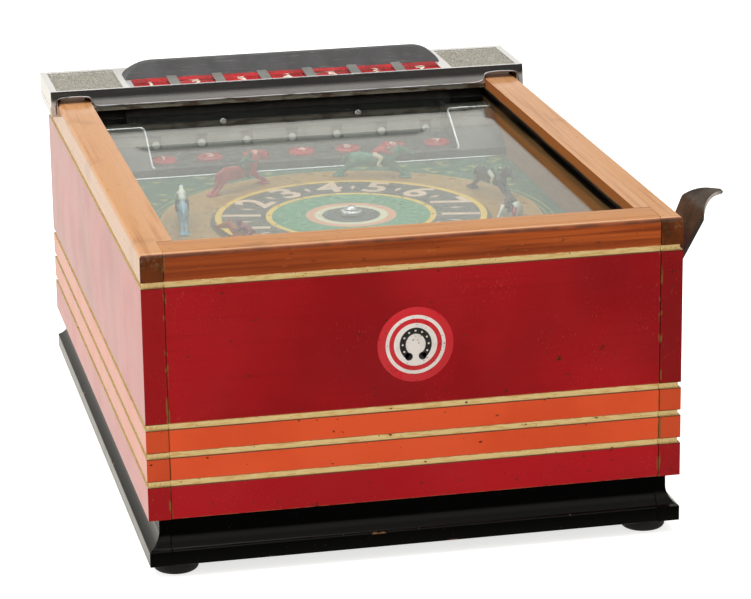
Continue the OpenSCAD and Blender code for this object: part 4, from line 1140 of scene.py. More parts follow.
@dataclass
class Cabinet(SubAssembly):
    """Boards, plinth, feet and screws, with a round ornament on the front."""

    ease_mm: float = 1.0
    inner_mm: tuple[float, float] = (137.0, 18.0)
    ornament_mm: tuple[float, float] = (-1.0, 125.0)
    ornament_radius_mm: float = 21.5
    shoe_radii_mm: tuple[float, float] = (7.36, 8.0)
    shoe_width_mm: float = 3.4
    shoe_sweep_deg: tuple[float, float] = (-58.0, 296.0)
    shoe_steps: int = 40
    heel_mm: float = 2.2
    ink_mm: float = 0.15

    def boards(self) -> None:
        """Ease and paint the boards."""
        side = CabinetPaint("side_board_paint", grain=Axis.Y)
        for node in ("side_board_left", "side_board_right"):
            self.stain_inside(self.eased(node, side, self.ease_mm, 3), Axis.Y)
        front = CabinetPaint("front_board_paint", srgb(190, 132, 82), srgb(166, 104, 58), Axis.X)
        self.stain_inside(self.eased("front_board", front, self.ease_mm, 3), Axis.X)
        brown = Timber("stained_back_wood", srgb(126, 76, 40), srgb(74, 40, 20), Axis.X, 0.45)
        self.eased("back_board", brown, 0.8)
        plain = Timber("plain_pine", srgb(206, 168, 116), srgb(160, 116, 70), Axis.Y, 0.6)
        self.eased("bottom_board", plain, 0.5)
        self.eased("board_cleats", plain, 0.5)

    def stain_inside(self, board: Object, grain: Axis) -> None:
        """Stain the faces of a board that look into the cabinet, and those of its kerf.

        Args:
            board: The dressed board.
            grain: The way its grain runs.
        """
        stain = InnerStain(f"inner_stain_{grain.name.lower()}", grain=grain)
        board.data.materials.append(stain.material())
        half, front = self.inner_mm[0] * MM, DATUM.y0 + self.inner_mm[1] * MM
        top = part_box("front_board")[1].z - MM
        for face in board.data.polygons:
            within = abs(face.center.x - DATUM.x0) < half and face.center.y > front
            face.material_index = int(within and face.center.z < top)

    def plinth(self) -> None:
        """Paint the plinth rails black and stand them on rubber feet."""
        black = PlinthPaint("plinth_paint")
        for side in ("front", "back", "left", "right"):
            self.eased(f"plinth_{side}", black, 0.8, 3)
        self.eased("rubber_feet", FootRubber("foot_rubber"), 0.7, 3)
        self.eased("wood_screws", Palette.screw, 0.2)

    def on_front(self, point: Vector) -> Matrix:
        """Give a place on the front face, with local Z towards the player."""
        return Matrix.Translation(point) @ Matrix.Rotation(math.radians(90), 4, "X")

    def roundel(self) -> None:
        """Print a ringed disc on the front face."""
        radius, ink = self.ornament_radius_mm, self.ink_mm
        centre = DATUM.at(self.ornament_mm[0], 0, self.ornament_mm[1])
        red, white = srgb(222, 34, 46), srgb(246, 240, 236)
        rings = ((0.0, white), (radius - 9.2, red), (radius - 6.6, white), (radius - 4.6, red))
        paint = RingPaint("front_roundel", centre, rings, radius + 1, (Axis.X, Axis.Z), wear=0.15)
        profile = ((0, -ink), (radius, -ink), (radius, ink / 2), (radius - ink, ink), (0, ink))
        bm = bmesh.new()
        spun(bm, profile, self.on_front(centre), 96)
        self.from_bmesh("front_roundel", bm, paint, "red_wood")

    def horseshoe(self) -> None:
        """Print a plain horseshoe with nails on the disc."""
        x, z = self.ornament_mm
        wide, high = self.shoe_radii_mm
        start, sweep = self.shoe_sweep_deg
        ink = self.ink_mm
        rise = Vector((0, -ink, 0)) * MM
        arc = [math.radians(start + sweep * k / self.shoe_steps) for k in range(self.shoe_steps + 1)]
        line = [DATUM.at(x + wide * math.cos(a), -ink, z + high * math.sin(a)) for a in arc]
        shoe = bmesh.new()
        stroke(shoe, line, self.shoe_width_mm * MM, rise)
        for end in (line[0], line[-1]):
            spun(shoe, button(self.heel_mm, ink), self.on_front(end), 24)
        grey = Enamel("grey_ink", srgb(52, 50, 50), 0.7, 0.4)
        self.from_bmesh("front_horseshoe", shoe, grey, "red_wood")
        nails = bmesh.new()
        for spot in line[4:37:4]:
            spun(nails, ((0, 0), (0.6, 0), (0.5, ink), (0, ink)), self.on_front(spot + rise), 12)
        self.from_bmesh("front_horseshoe_nails", nails, Palette.cream_ink, "red_wood")

    def build(self) -> None:
        """Make every piece of the cabinet."""
        self.boards()
        self.plinth()
        self.roundel()
        self.horseshoe()


@dataclass
class PlayField(SubAssembly):
    """The green board with painted turf lines, under its pane."""

    ink_mm: float = 0.12
    clear_radius_mm: float = 119.0
    tuft_gap_mm: float = 8.0
    tuft_count: int = 90
    tuft_x_mm: tuple[float, float] = (-124.0, 124.0)
    tuft_y_mm: tuple[float, float] = (30.0, 300.0)
    blade_mm: tuple[float, float] = (3.5, 7.0)
    blade_width_mm: float = 0.45
    arc_gap_mm: float = 4.0
    arc_width_mm: float = 0.5
    screw_mm: tuple[float, float] = (108.0, 268.0)
    screw_profile: Pairs = ((0, 0), (4.6, 0), (4.5, 0.5), (3.8, 1.3), (2.4, 2.0), (0, 2.3))
    edge_mm: float = 1.0
    seed: int = 11

    def turf(self) -> None:
        """Paint tufts of grass, and two arcs on each side of the wheel."""
        top = DATUM.box("play_board")[1].z
        rise = Vector((0, 0, self.ink_mm)) * MM
        chance = random.Random(self.seed)
        bm = bmesh.new()
        made = 0
        while made < self.tuft_count:
            x = chance.uniform(*self.tuft_x_mm)
            y = chance.uniform(*self.tuft_y_mm)
            if math.hypot(x, y - WHEEL_MM) < self.clear_radius_mm + self.tuft_gap_mm:
                continue
            size = chance.uniform(*self.blade_mm)
            for lean in (-0.75, -0.38, 0.0, 0.38, 0.75):
                length = size * (1 - 0.3 * abs(lean))
                blade = [DATUM.at(x + length * math.sin(lean) * t * t + lean, y + length * t, top)
                         for t in (0, 0.35, 0.7, 1.0)]
                stroke(bm, blade, self.blade_width_mm * MM, rise)
            made += 1
        turns = [math.radians(degrees) for degrees in range(-82, 83, 4)]
        for radius in (self.clear_radius_mm, self.clear_radius_mm + self.arc_gap_mm):
            for side in (radius, -radius):
                arc = [DATUM.at(side * math.cos(a), WHEEL_MM + radius * math.sin(a), top) for a in turns]
                stroke(bm, arc, self.arc_width_mm * MM, rise)
        self.from_bmesh("turf_lines", bm, Palette.line_ink, "green_board")

    def board_screw(self) -> None:
        """Set one dome screw that holds the board down."""
        bm = bmesh.new()
        spun(bm, self.screw_profile, DATUM.place(*self.screw_mm, DATUM.box("play_board")[1].z), 32)
        self.from_bmesh("board_dome_screw", bm, Palette.chrome, "screw_steel")

    def soil_edge(self, pane: Object) -> None:
        """Blacken the back edge of the pane under the coin head, as painted shade.

        Args:
            pane: The dressed pane.
        """
        # Painted shade: the pane's back edge under the coin head is near-black.
        pane.data.materials.append(Enamel("pane_edge_shade", srgb(16, 14, 12), 0.8, 0.6, 0.1).material())
        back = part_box("glass_pane")[1].y - self.edge_mm * MM
        for face in pane.data.polygons:
            face.material_index = int(face.center.y > back)

    def build(self) -> None:
        """Make the board, its paint and the pane."""
        green = Enamel("green_board_paint", srgb(62, 100, 74), 0.72, 0.42, 0.06, srgb(116, 140, 112))
        self.eased("play_board", green, 0.4)
        self.turf()
        self.board_screw()
        self.soil_edge(self.eased("glass_pane", PaneGlass("pane_glass"), 0.4))


@dataclass(frozen=True)
class Limb:
    """A limb between two balls, each (forward, outward, up, radius) in mm, flattened sideways."""

    start: tuple[float, float, float, float]
    end: tuple[float, float, float, float]
    flat: float = 1.0

    rows = 8
    sides = 14

    def skin(self, bm: BMesh) -> None:
        """Add the limb to a mesh, in mm, as the hull of its two balls.

        Args:
            bm: The mesh to add to.
        """
        verts = []
        for x, y, z, radius in (self.start, self.end):
            for i in range(self.rows + 1):
                tilt = math.pi * i / self.rows
                for turn in angles(self.sides if 0 < i < self.rows else 1):
                    verts.append(bm.verts.new((x + radius * math.sin(tilt) * math.cos(turn),
                                               y + radius * self.flat * math.sin(tilt) * math.sin(turn),
                                               z + radius * math.cos(tilt))))
        bmesh.ops.convex_hull(bm, input=verts, use_existing_faces=False)
        loose = [vert for vert in verts if vert.is_valid and not vert.link_faces]
        bmesh.ops.delete(bm, geom=loose, context="VERTS")


@dataclass(frozen=True)
class Runner:
    """One horse's colours: its coat, its rider's jacket and breeches."""

    coat: Colour
    jacket: Colour
    breeches: Colour


@dataclass
class HorseWheel(SubAssembly):
    """The tan wheel that carries seven cast horses with riders."""

    first_deg: float = 19.3
    ring_mm: float = 101.0
    voxel_mm: float = 0.36
    number_mm: float = 11.0
    number_ring_mm: float = 105.0
    number_lift_mm: float = 0.08
    core_lift_mm: float = 0.13

    runners = (
        Runner(srgb(30, 30, 32), srgb(52, 116, 74), srgb(236, 230, 214)),
        Runner(srgb(76, 138, 112), srgb(204, 44, 44), srgb(240, 230, 206)),
        Runner(srgb(196, 44, 42), srgb(46, 92, 60), srgb(60, 96, 66)),
        Runner(srgb(142, 178, 206), srgb(244, 240, 232), srgb(40, 38, 38)),
        Runner(srgb(214, 112, 40), srgb(126, 30, 30), srgb(128, 36, 32)),
        Runner(srgb(228, 186, 60), srgb(40, 62, 120), srgb(236, 230, 214)),
        Runner(srgb(232, 228, 216), srgb(40, 38, 38), srgb(196, 44, 42)),
    )

    def horse_limbs(self) -> list[Limb]:
        """List the limbs of a horse at full stretch, and the two pads it stands on.

        Returns:
            Body, neck, head, mane and tail, then each side's ear and legs, then the pads.
        """
        limbs = [
            Limb((-9, 0, 11.6, 4.5), (0, 0, 11.0, 4.5), 0.72),
            Limb((0, 0, 11.0, 4.5), (9.5, 0, 11.2, 4.3), 0.72),
            Limb((-11.4, 0, 12.2, 3.7), (-8, 0, 12.0, 4.4), 0.76),
            Limb((9, 0, 10.8, 4.1), (12.4, 0, 11.4, 3.2), 0.76),
            Limb((11, 0, 13.0, 3.3), (18.4, 0, 18.4, 1.9), 0.62),
            Limb((18.4, 0, 18.8, 1.9), (24, 0, 16.5, 1.3), 0.72),
            Limb((24, 0, 16.5, 1.3), (26.4, 0, 15.1, 1.1), 0.8),
            Limb((19.6, 0, 17.3, 1.6), (22.6, 0, 16.2, 1.1), 0.7),
            Limb((11.4, 0, 16.0, 1.0), (17.8, 0, 20.5, 0.8), 0.6),
            Limb((-14, 0, 13.6, 1.1), (-17.2, 0, 12.2, 1.3), 0.8),
            Limb((-17.2, 0, 12.2, 1.3), (-19.4, 0, 8.2, 0.6), 0.8),
        ]
        for side, back, front in ((1.3, 0.0, 0.0), (-1.3, 1.3, -1.5)):
            limbs += [
                Limb((17.8, side * 0.55, 20.3, 0.55), (17.5, side * 0.75, 21.7, 0.3)),
                Limb((-11, side, 10.6, 3.2), (-15.4 + back, side, 6.6, 1.6), 0.7),
                Limb((-15.4 + back, side, 6.6, 1.4), (-20 + back, side, 2.5, 0.95)),
                Limb((-20 + back, side, 2.4, 1.0), (-22 + back, side, 1.5, 1.2)),
                Limb((11.4, side, 9.4, 2.4), (17.6 + front, side, 5.0, 1.4), 0.7),
                Limb((17.6 + front, side, 5.0, 1.2), (22.2 + front, side, 2.5, 0.95)),
                Limb((22.2 + front, side, 2.4, 1.0), (23.8 + front, side, 1.5, 1.15)),
            ]
        return limbs + [Limb((x - 3.2, 0, 0.75, 0.72), (x + 3.2, 0, 0.75, 0.72), 4.4) for x in (-21, 21)]

    def jacket_limbs(self) -> list[Limb]:
        """List the limbs in the jacket's colour.

        Returns:
            The rider's back, cap and peak, then both arms.
        """
        limbs = [
            Limb((2.4, 0, 15.8, 2.3), (7.6, 0, 18.6, 2.2)),
            Limb((10.4, 0, 20.7, 1.55), (10.7, 0, 20.7, 1.5)),
            Limb((10.8, 0, 20.6, 1.2), (12.6, 0, 20.3, 0.5), 1.1),
        ]
        for side in (1, -1):
            limbs += [Limb((7.4, side * 2.0, 18.2, 1.1), (10.2, side * 2.6, 16.2, 0.95)),
                      Limb((10.2, side * 2.6, 16.2, 0.9), (13.4, side * 1.7, 16.5, 0.7))]
        return limbs

    def breeches_limbs(self) -> list[Limb]:
        """List the limbs in the breeches' colour.

        Returns:
            The rider's face, then both legs.
        """
        limbs = [Limb((10.5, 0, 19.4, 1.4), (10.7, 0, 19.9, 1.4))]
        for side in (1, -1):
            limbs += [Limb((2.4, side * 2.3, 14.8, 1.7), (6.8, side * 3.0, 12.8, 1.4)),
                      Limb((6.8, side * 3.0, 12.8, 1.25), (4.6, side * 3.3, 8.6, 1.0)),
                      Limb((4.6, side * 3.3, 8.4, 1.0), (6.6, side * 3.3, 7.6, 0.8))]
        return limbs

    def cast(self, name: str, limbs: Iterable[Limb]) -> Mesh:
        """Melt limbs into one smooth casting about the local origin.

        Args:
            name: The mesh's name.
            limbs: The limbs, in mm.

        Returns:
            The casting in metres.
        """
        bm = bmesh.new()
        for limb in limbs:
            limb.skin(bm)
        holder = linked(name + "_mould", mesh_of(name + "_limbs", bm))
        melt = holder.modifiers.new("melt", "REMESH")
        melt.mode = "VOXEL"
        melt.voxel_size = self.voxel_mm
        soften = holder.modifiers.new("soften", "SMOOTH")
        soften.factor = 0.5
        soften.iterations = 4
        bpy.context.view_layer.update()
        shown = holder.evaluated_get(bpy.context.evaluated_depsgraph_get())
        mesh = bpy.data.meshes.new_from_object(shown)
        bpy.data.objects.remove(holder)
        mesh.name = name
        mesh.transform(Matrix.Scale(MM, 4))
        mesh.shade_smooth()
        return mesh

    def turn_of(self, index: int) -> float:
        """Give the turn of a horse's place round the wheel."""
        return math.radians(self.first_deg + index * 360 / PLACES - 90)

    def horses(self) -> None:
        """Cast one horse and rider, and paint seven copies."""
        top = DATUM.box("wheel_disc")[1].z
        shapes = (("horse", self.cast("horse_casting", self.horse_limbs())),
                  ("jacket", self.cast("jacket_casting", self.jacket_limbs())),
                  ("breeches", self.cast("breeches_casting", self.breeches_limbs())))
        for index, runner in enumerate(self.runners):
            node = f"horse_{index + 1}"
            tints = (runner.coat, runner.jacket, runner.breeches)
            for (part, shape), tint in zip(shapes, tints):
                mesh = shape.copy()
                mesh.transform(round_wheel(self.turn_of(index), self.ring_mm, top))
                name = f"{node}_{part}"
                paint = Enamel(name + "_paint", tint, 0.62, 0.26, 0.1)
                piece = self.new_piece(name, mesh, paint, SLOT_OF[node], "wheel")
                if part == "horse":
                    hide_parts(node)

    def numbers(self) -> None:
        """Number the places on the wheel in outlined figures."""
        top = DATUM.box("wheel_disc")[1].z
        gold = Enamel("wheel_number_gold", srgb(238, 190, 80), 0.8, 0.4, 0.0)
        brown = Enamel("wheel_number_brown", srgb(96, 66, 36), 0.8, 0.5, 0.0)
        outline = NumberStyle(self.number_mm, gold, "wheel_paint", 0.45, 0.08, "wheel")
        core = NumberStyle(self.number_mm, brown, "wheel_paint", -0.12, 0.08, "wheel")
        layers = (("", self.number_lift_mm, outline), ("_core", self.core_lift_mm, core))
        for index in range(PLACES):
            text = str(index + 1)
            for ending, lift, style in layers:
                spot = round_wheel(self.turn_of(index), self.number_ring_mm, top + lift)
                self.numeral(f"wheel_number_{text}{ending}", text, spot, style)

    def build(self) -> None:
        """Make the wheel, its hub and its horses."""
        tan = srgb(178, 130, 62)
        # The brown ring just outside the dial's edge, from 82 to 84.5 mm, is a painted shadow of the dial
        # on the wheel.
        rings = ((0.0, tan), (82.0, srgb(84, 64, 38)), (84.5, tan), (113.6, srgb(196, 150, 76)))
        paint = RingPaint("wheel_paint", DATUM.at(0, WHEEL_MM, 0), rings, 116.0, wear=0.35)
        self.eased("wheel_disc", paint, 0.3)
        self.eased("wheel_hub", Palette.brass, 0.3)
        self.eased("hub_rivets", Palette.screw, 0.2)
        self.horses()
        self.numbers()


@dataclass
class CentreDial(SubAssembly):
    """The fixed ringed dial over the wheel's middle, with its collar and slotted screw."""

    number_ring_mm: float = 64.5
    number_mm: float = 32.0
    wedge_mm: Pairs = ((0, 60), (1.6, 64.5), (0, 69), (-1.6, 64.5))
    oval_ring_mm: float = 37.0
    oval_mm: tuple[float, float] = (4.6, 6.6)
    oval_width_mm: float = 0.8
    spot_ring_mm: float = 49.2
    spot_mm: float = 0.9
    ink_mm: float = 0.1

    def marks(self) -> None:
        """Ring the dial with numbers, wedges, ovals and spots."""
        foot = DATUM.box("dial_disc")[1].z
        middle = foot + self.ink_mm / 2
        rise = Vector((0, 0, self.ink_mm)) * MM
        pink = Enamel("dial_number_pink", srgb(236, 196, 176), 0.85, 0.4, 0.0)
        style = NumberStyle(self.number_mm, pink, "dial_paint", 0.7, 0.1)
        wide, high = self.oval_mm
        oval = [Vector((wide * math.cos(a), high * math.sin(a), 0)) * MM for a in (*angles(32), math.tau)]
        wedges, ovals, spots = bmesh.new(), bmesh.new(), bmesh.new()
        places = 2 * PLACES
        for index in range(places):
            turn = math.tau * (index + 0.5) / places - math.pi / 2
            text = str((places - 1 - index) % PLACES + 1)
            spot = round_wheel(turn, self.number_ring_mm, middle)
            self.numeral(f"dial_number_{index + 1}", text, spot, style)
            between = round_wheel(turn + math.pi / places, 0, foot)
            slab(wedges, [between @ (Vector((x, y, 0)) * MM) for x, y in self.wedge_mm], rise)
            ring = round_wheel(turn, self.oval_ring_mm, middle)
            stroke(ovals, [ring @ point for point in oval], self.oval_width_mm * MM, rise)
            spun(spots, button(self.spot_mm, self.ink_mm), round_wheel(turn, self.spot_ring_mm, foot), 12)
        self.from_bmesh("dial_wedges", wedges, pink, "dial_paint")
        green = Enamel("dial_oval_ink", srgb(140, 186, 150), 0.85, 0.4, 0.0)
        self.from_bmesh("dial_ovals", ovals, green, "dial_paint")
        brown = Enamel("dial_spot_ink", srgb(120, 70, 30), 0.8, 0.4, 0.0)
        self.from_bmesh("dial_spots", spots, brown, "dial_paint")

    def build(self) -> None:
        """Make the dial and what is printed and screwed on it."""
        black, yellow = srgb(72, 68, 58), srgb(240, 190, 66)
        rings = ((0.0, srgb(66, 68, 62)), (17.4, srgb(228, 214, 186)), (22.0, srgb(230, 156, 128)),
                 (27.0, srgb(70, 136, 98)), (47.5, yellow), (51.0, black), (77.5, yellow),
                 (81.4, srgb(120, 92, 40)))
        paint = RingPaint("dial_paint", DATUM.at(0, WHEEL_MM, 0), rings, 83.0, wear=0.1)
        self.eased("dial_disc", paint, 0.25)
        self.marks()
        self.eased("dial_collar", Palette.chrome, 0.5, 3)
        self.eased("dial_screw", Palette.chrome, 0.25)


@dataclass
class CoinHead(SubAssembly):
    """The cast head over the back of the cabinet, with its hood and seven numbered entries."""

    pitch_mm: float = 30.0
    number_mm: float = 12.5
    number_lift_mm: float = 0.05
    fin_mm: float = 6.8
    fin_foot_mm: float = 366.4
    fin_rise_mm: float = 1.5
    lean_mm: float = 2.4
    back_half_mm: float = 11.8
    notch_mm: tuple[float, float, float, float] = (153.6, 129.9, 191.6, 184.9)
    notch_corner_mm: float = 2.5
    bead_mm: float = 0.5

    def entry_xs(self) -> list[float]:
        """Give the entries' middles."""
        return [(k - (PLACES - 1) / 2) * self.pitch_mm for k in range(PLACES)]

    def straps(self, lefts: Iterable[float], profile: Pairs, width_mm: float) -> BMesh:
        """Lay straps of one profile across the head's top.

        Args:
            lefts: X of each strap's left side.
            profile: Points of its side, as Y and the height over the head, in mm.
            width_mm: Its width.

        Returns:
            The straps as one mesh.
        """
        top = DATUM.box("coin_head")[1].z
        bm = bmesh.new()
        for left in lefts:
            slab(bm, [DATUM.at(left, y, top + z) for y, z in profile], Vector((width_mm, 0, 0)) * MM)
        return bm

    def entries(self) -> None:
        """Dress the red entry plates with numbers, and run their red back to the hood."""
        low, high = DATUM.box("slot_inserts")
        hood = DATUM.box("coin_hood")[0].y
        self.eased("slot_inserts", Palette.red_enamel, 0.3)
        style = NumberStyle(self.number_mm, Palette.cream_ink, "red_enamel", 0.3, 0.14)
        for number, x in enumerate(self.entry_xs(), 1):
            spot = DATUM.place(x, (low.y + high.y) / 2, high.z + self.number_lift_mm)
            self.numeral(f"entry_number_{number}", str(number), spot, style)
        profile = ((high.y - 0.6, 0.0), (high.y - 0.4, 0.3), (hood + 0.2, 0.4), (hood + 0.2, 0.0))
        lefts = [x - self.back_half_mm for x in self.entry_xs()]
        backs = self.straps(lefts, profile, 2 * self.back_half_mm)
        self.from_bmesh("entry_backs", backs, Palette.red_enamel, "red_enamel")

    def fins(self) -> None:
        """Lay a sloping strap between each two entries, up against the hood."""
        hood = DATUM.box("coin_hood")[0].y
        foot, rise = self.fin_foot_mm, self.fin_rise_mm
        profile = ((foot, -0.4), (foot + 0.4, 0.35), (hood + 0.2, rise), (hood + 0.9, rise),
                   (hood + 0.4, -0.4))
        lefts = [x + self.pitch_mm / 2 - self.fin_mm / 2 for x in self.entry_xs()[:-1]]
        fins = self.straps(lefts, profile, self.fin_mm)
        self.ease(self.from_bmesh("entry_fins", fins, Palette.fin, "cast_aluminium"), 0.4, 3)

    def bead(self) -> None:
        """Run a bright rounded edge along the lip and round both rail notches."""
        low, high = DATUM.box("coin_head")
        slope = self.lean_mm / (high.z - low.z)
        outer, inner, top, lip = self.notch_mm
        corner = self.notch_corner_mm
        right = [(0, lip), (inner - 8, lip), (inner - 3, lip + 0.3), (inner, lip + 1.6),
                 (inner, top - corner), (inner + corner, top), (outer - corner, top),
                 (outer, top - corner), (outer, low.z + 1.5)]
        line = [DATUM.at(x, low.y + slope * (z - low.z), z) for x, z in both_sides(right)]
        bm = bmesh.new()
        tube(bm, flowed(line), self.bead_mm * MM)
        self.from_bmesh("head_bead", bm, Palette.worn_lip, "cast_aluminium")

    def lean_front(self, head: Object) -> None:
        """Lean the head's front face back a little from its foot, so that it takes the light from above.

        Args:
            head: The dressed head.
        """
        low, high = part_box("coin_head")
        for vertex in head.data.vertices:
            if vertex.co.y < low.y + 0.05 * MM:
                vertex.co.y += self.lean_mm * MM * (vertex.co.z - low.z) / (high.z - low.z)

    def build(self) -> None:
        """Make the head, hood and entries."""
        self.lean_front(self.eased("coin_head", HeadCasting("head_casting"), 1.5, 4))
        hood = Enamel("hood_paint", srgb(72, 73, 76), 0.78, 0.4, 0.35, srgb(150, 150, 150),
                      brush=Axis.X, skew=0.0)
        self.eased("coin_hood", hood, 1.2, 3)
        self.entries()
        self.fins()
        self.bead()


@dataclass
class CoinApron(SubAssembly):
    """The satin casting under the glass: apron, number discs and the chutes behind them."""

    half_mm: float = 100.0
    front_mm: float = 307.0
    back_mm: float = 343.0
    corner_mm: float = 7.0
    corner_rise: float = 0.17
    bead_mm: float = 0.85
    skirt_bead_mm: float = 0.7
    disc_y_mm: float = 329.0
    disc_profile: Pairs = ((0, 0), (8.5, 0), (8.5, 0.8), (8.0, 1.5), (7.2, 1.75), (6.6, 1.5), (6.2, 1.45),
                           (3.0, 1.9), (0, 2.0))
    number_mm: float = 10.5
    chute_lean_deg: float = 25.0
    chute_foot_mm: tuple[float, float] = (358.0, 151.9)
    pad_up_mm: float = 3.6
    pad_out_mm: float = -2.2
    pad_profile: Pairs = ((0, 0), (2.6, 0), (2.6, 0.6), (2.2, 1.0), (1.2, 1.3), (0, 1.4))

    def beads(self) -> None:
        """Run one bright bead round the mouth of the recess, and one along the skirt's foot."""
        high = DATUM.box("coin_apron")[1]
        top, ledge, outer = high.z + 0.2, self.chute_foot_mm[1] + 0.2, high.x - 0.8
        front, back, half, corner = self.front_mm, self.back_mm, self.half_mm, self.corner_mm
        bend = (top - ledge) * self.corner_rise
        right = [(0, front + 1, ledge), (half - corner, front + 1, ledge), (half, front + 1, ledge),
                 (half, front + corner, ledge + bend), (half, back - corner, top - bend), (half, back, top),
                 (half + corner, back, top), (outer, back, top)]
        foot = DATUM.box("play_board")[1].z + self.skirt_bead_mm
        edge = [DATUM.at(x, front - 0.2, foot) for x in (-outer, outer)]
        mouth, skirt = bmesh.new(), bmesh.new()
        tube(mouth, flowed([DATUM.at(*point) for point in both_sides(right)]), self.bead_mm * MM, 12)
        self.from_bmesh("recess_bead", mouth, Palette.aluminium, "satin_aluminium")
        tube(skirt, edge, self.skirt_bead_mm * MM)
        self.from_bmesh("skirt_bead", skirt, Palette.aluminium, "satin_aluminium")

    def discs(self) -> None:
        """Set a glossy rimmed button with a raised figure on each disc's place."""
        xs = CoinHead().entry_xs()
        ledge = self.chute_foot_mm[1]
        bm = bmesh.new()
        for x in xs:
            spun(bm, self.disc_profile, DATUM.place(x, self.disc_y_mm, ledge))
        piece = self.from_bmesh("number_buttons", bm, Palette.red_enamel, "red_enamel")
        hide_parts("number_discs")
        style = NumberStyle(self.number_mm, Palette.number_ink, "red_enamel", 0.1, 0.5)
        for number, x in enumerate(xs, 1):
            spot = DATUM.place(x, self.disc_y_mm, ledge + self.disc_profile[-1][1])
            self.numeral(f"button_number_{number}", str(number), spot, style)

    def chute_point(self, x: float, out: float, up: float) -> Vector:
        """Give a point on the leaning chute plate.

        Args:
            x: Across the cabinet, in mm.
            out: Out of the plate, towards the player.
            up: Up along the plate.

        Returns:
            The point in the row frame.
        """
        lean = math.radians(self.chute_lean_deg)
        y, z = self.chute_foot_mm
        return DATUM.at(x, y + up * math.sin(lean) - out * math.cos(lean),
                        z + up * math.cos(lean) + out * math.sin(lean))

    def pads(self) -> None:
        """Set a pale domed coin pad in the foot of each window."""
        lean = Matrix.Rotation(math.radians(90 - self.chute_lean_deg), 4, "X")
        bm = bmesh.new()
        for x in CoinHead().entry_xs():
            foot = self.chute_point(x, self.pad_out_mm, self.pad_up_mm)
            spun(bm, self.pad_profile, Matrix.Translation(foot) @ lean, 32)
        self.from_bmesh("coin_pads", bm, Palette.coin_pad, "satin_aluminium")

    def build(self) -> None:
        """Make the apron, chutes, beads and discs."""
        self.eased("coin_apron", Palette.apron, 0.3)
        for node in ("chute_plate", "chute_ribs", "chute_back"):
            self.eased(node, Palette.chute, 0.3)
        self.eased("chute_screws", Palette.dome, 0.2)
        self.beads()
        self.discs()
        self.pads()


@dataclass
class Drive(SubAssembly):
    """The works under the board, with the coil spring that the rack squeezes."""

    coil_mm: float = 6.0
    wire_mm: float = 0.6
    turns: int = 9
    turn_steps: int = 24
    kept_share: float = 0.62
    squeezed_end_mm: float = -48.0

    def spring(self) -> None:
        """Wind the return spring round the rack's tail."""
        low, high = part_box("return_spring")
        middle = (low + high) / 2
        start, end = low.x + self.wire_mm * MM, high.x - self.wire_mm * MM
        steps, coil = self.turns * self.turn_steps, self.coil_mm * MM
        line = []
        for k in range(steps + 1):
            turn = math.tau * k / self.turn_steps
            line.append(Vector((start + (end - start) * k / steps, middle.y + coil * math.cos(turn),
                                middle.z + coil * math.sin(turn))))
        bm = bmesh.new()
        tube(bm, line, self.wire_mm * MM)
        piece = self.from_bmesh("return_spring_coil", bm, Palette.steel, "mechanism_steel")
        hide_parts("return_spring")
        anchor = DATUM.at(self.squeezed_end_mm, 0, 0)
        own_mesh(piece)

    def build(self) -> None:
        """Finish the works."""
        for node in ("mech_bracket", "spindle_post", "rack_guides", "shaft_bearings", "clutch_cover",
                     "clutch_rollers", "rack_bar", "rock_shaft", "drive_arm", "release_arm", "release_bar",
                     "release_guides"):
            self.eased(node, Palette.steel, 0.25)
        self.eased("thrust_washer", Palette.brass, 0.15)
        self.eased("drive_pinion", Palette.brass, 0.1)
        tray = Enamel("tray_paint", srgb(74, 80, 76), 0.7, 0.42, 0.25, srgb(150, 148, 140))
        self.eased("cash_tray", tray, 0.5)
        self.spring()


@dataclass
class PlayLever(SubAssembly):
    """The bent strip with a thumb lip on the right side."""

    ease_mm: float = 0.7

    def build(self) -> None:
        """Finish the lever in dark worn steel."""
        steel = LeverSteel("lever_steel", srgb(124, 108, 96), srgb(58, 42, 34), 0.36, Axis.Z, 0.9)
        self.eased("play_lever", steel, self.ease_mm, 3)


@dataclass
class BackDoor(SubAssembly):
    """The door at the back, with brass hinges and a cam lock."""

    def build(self) -> None:
        """Finish the door, hinges and lock."""
        wood = Timber("door_wood", srgb(134, 82, 44), srgb(78, 42, 20), Axis.X, 0.42)
        self.eased("back_door", wood, 0.8)
        for node in ("hinge_door_leaves", "hinge_frame_leaves", "hinge_pins", "lock_plug"):
            self.eased(node, Palette.brass, 0.2)
        self.eased("lock_housing", Palette.chrome, 0.4, 3)
        self.eased("lock_cam", Palette.steel, 0.2)


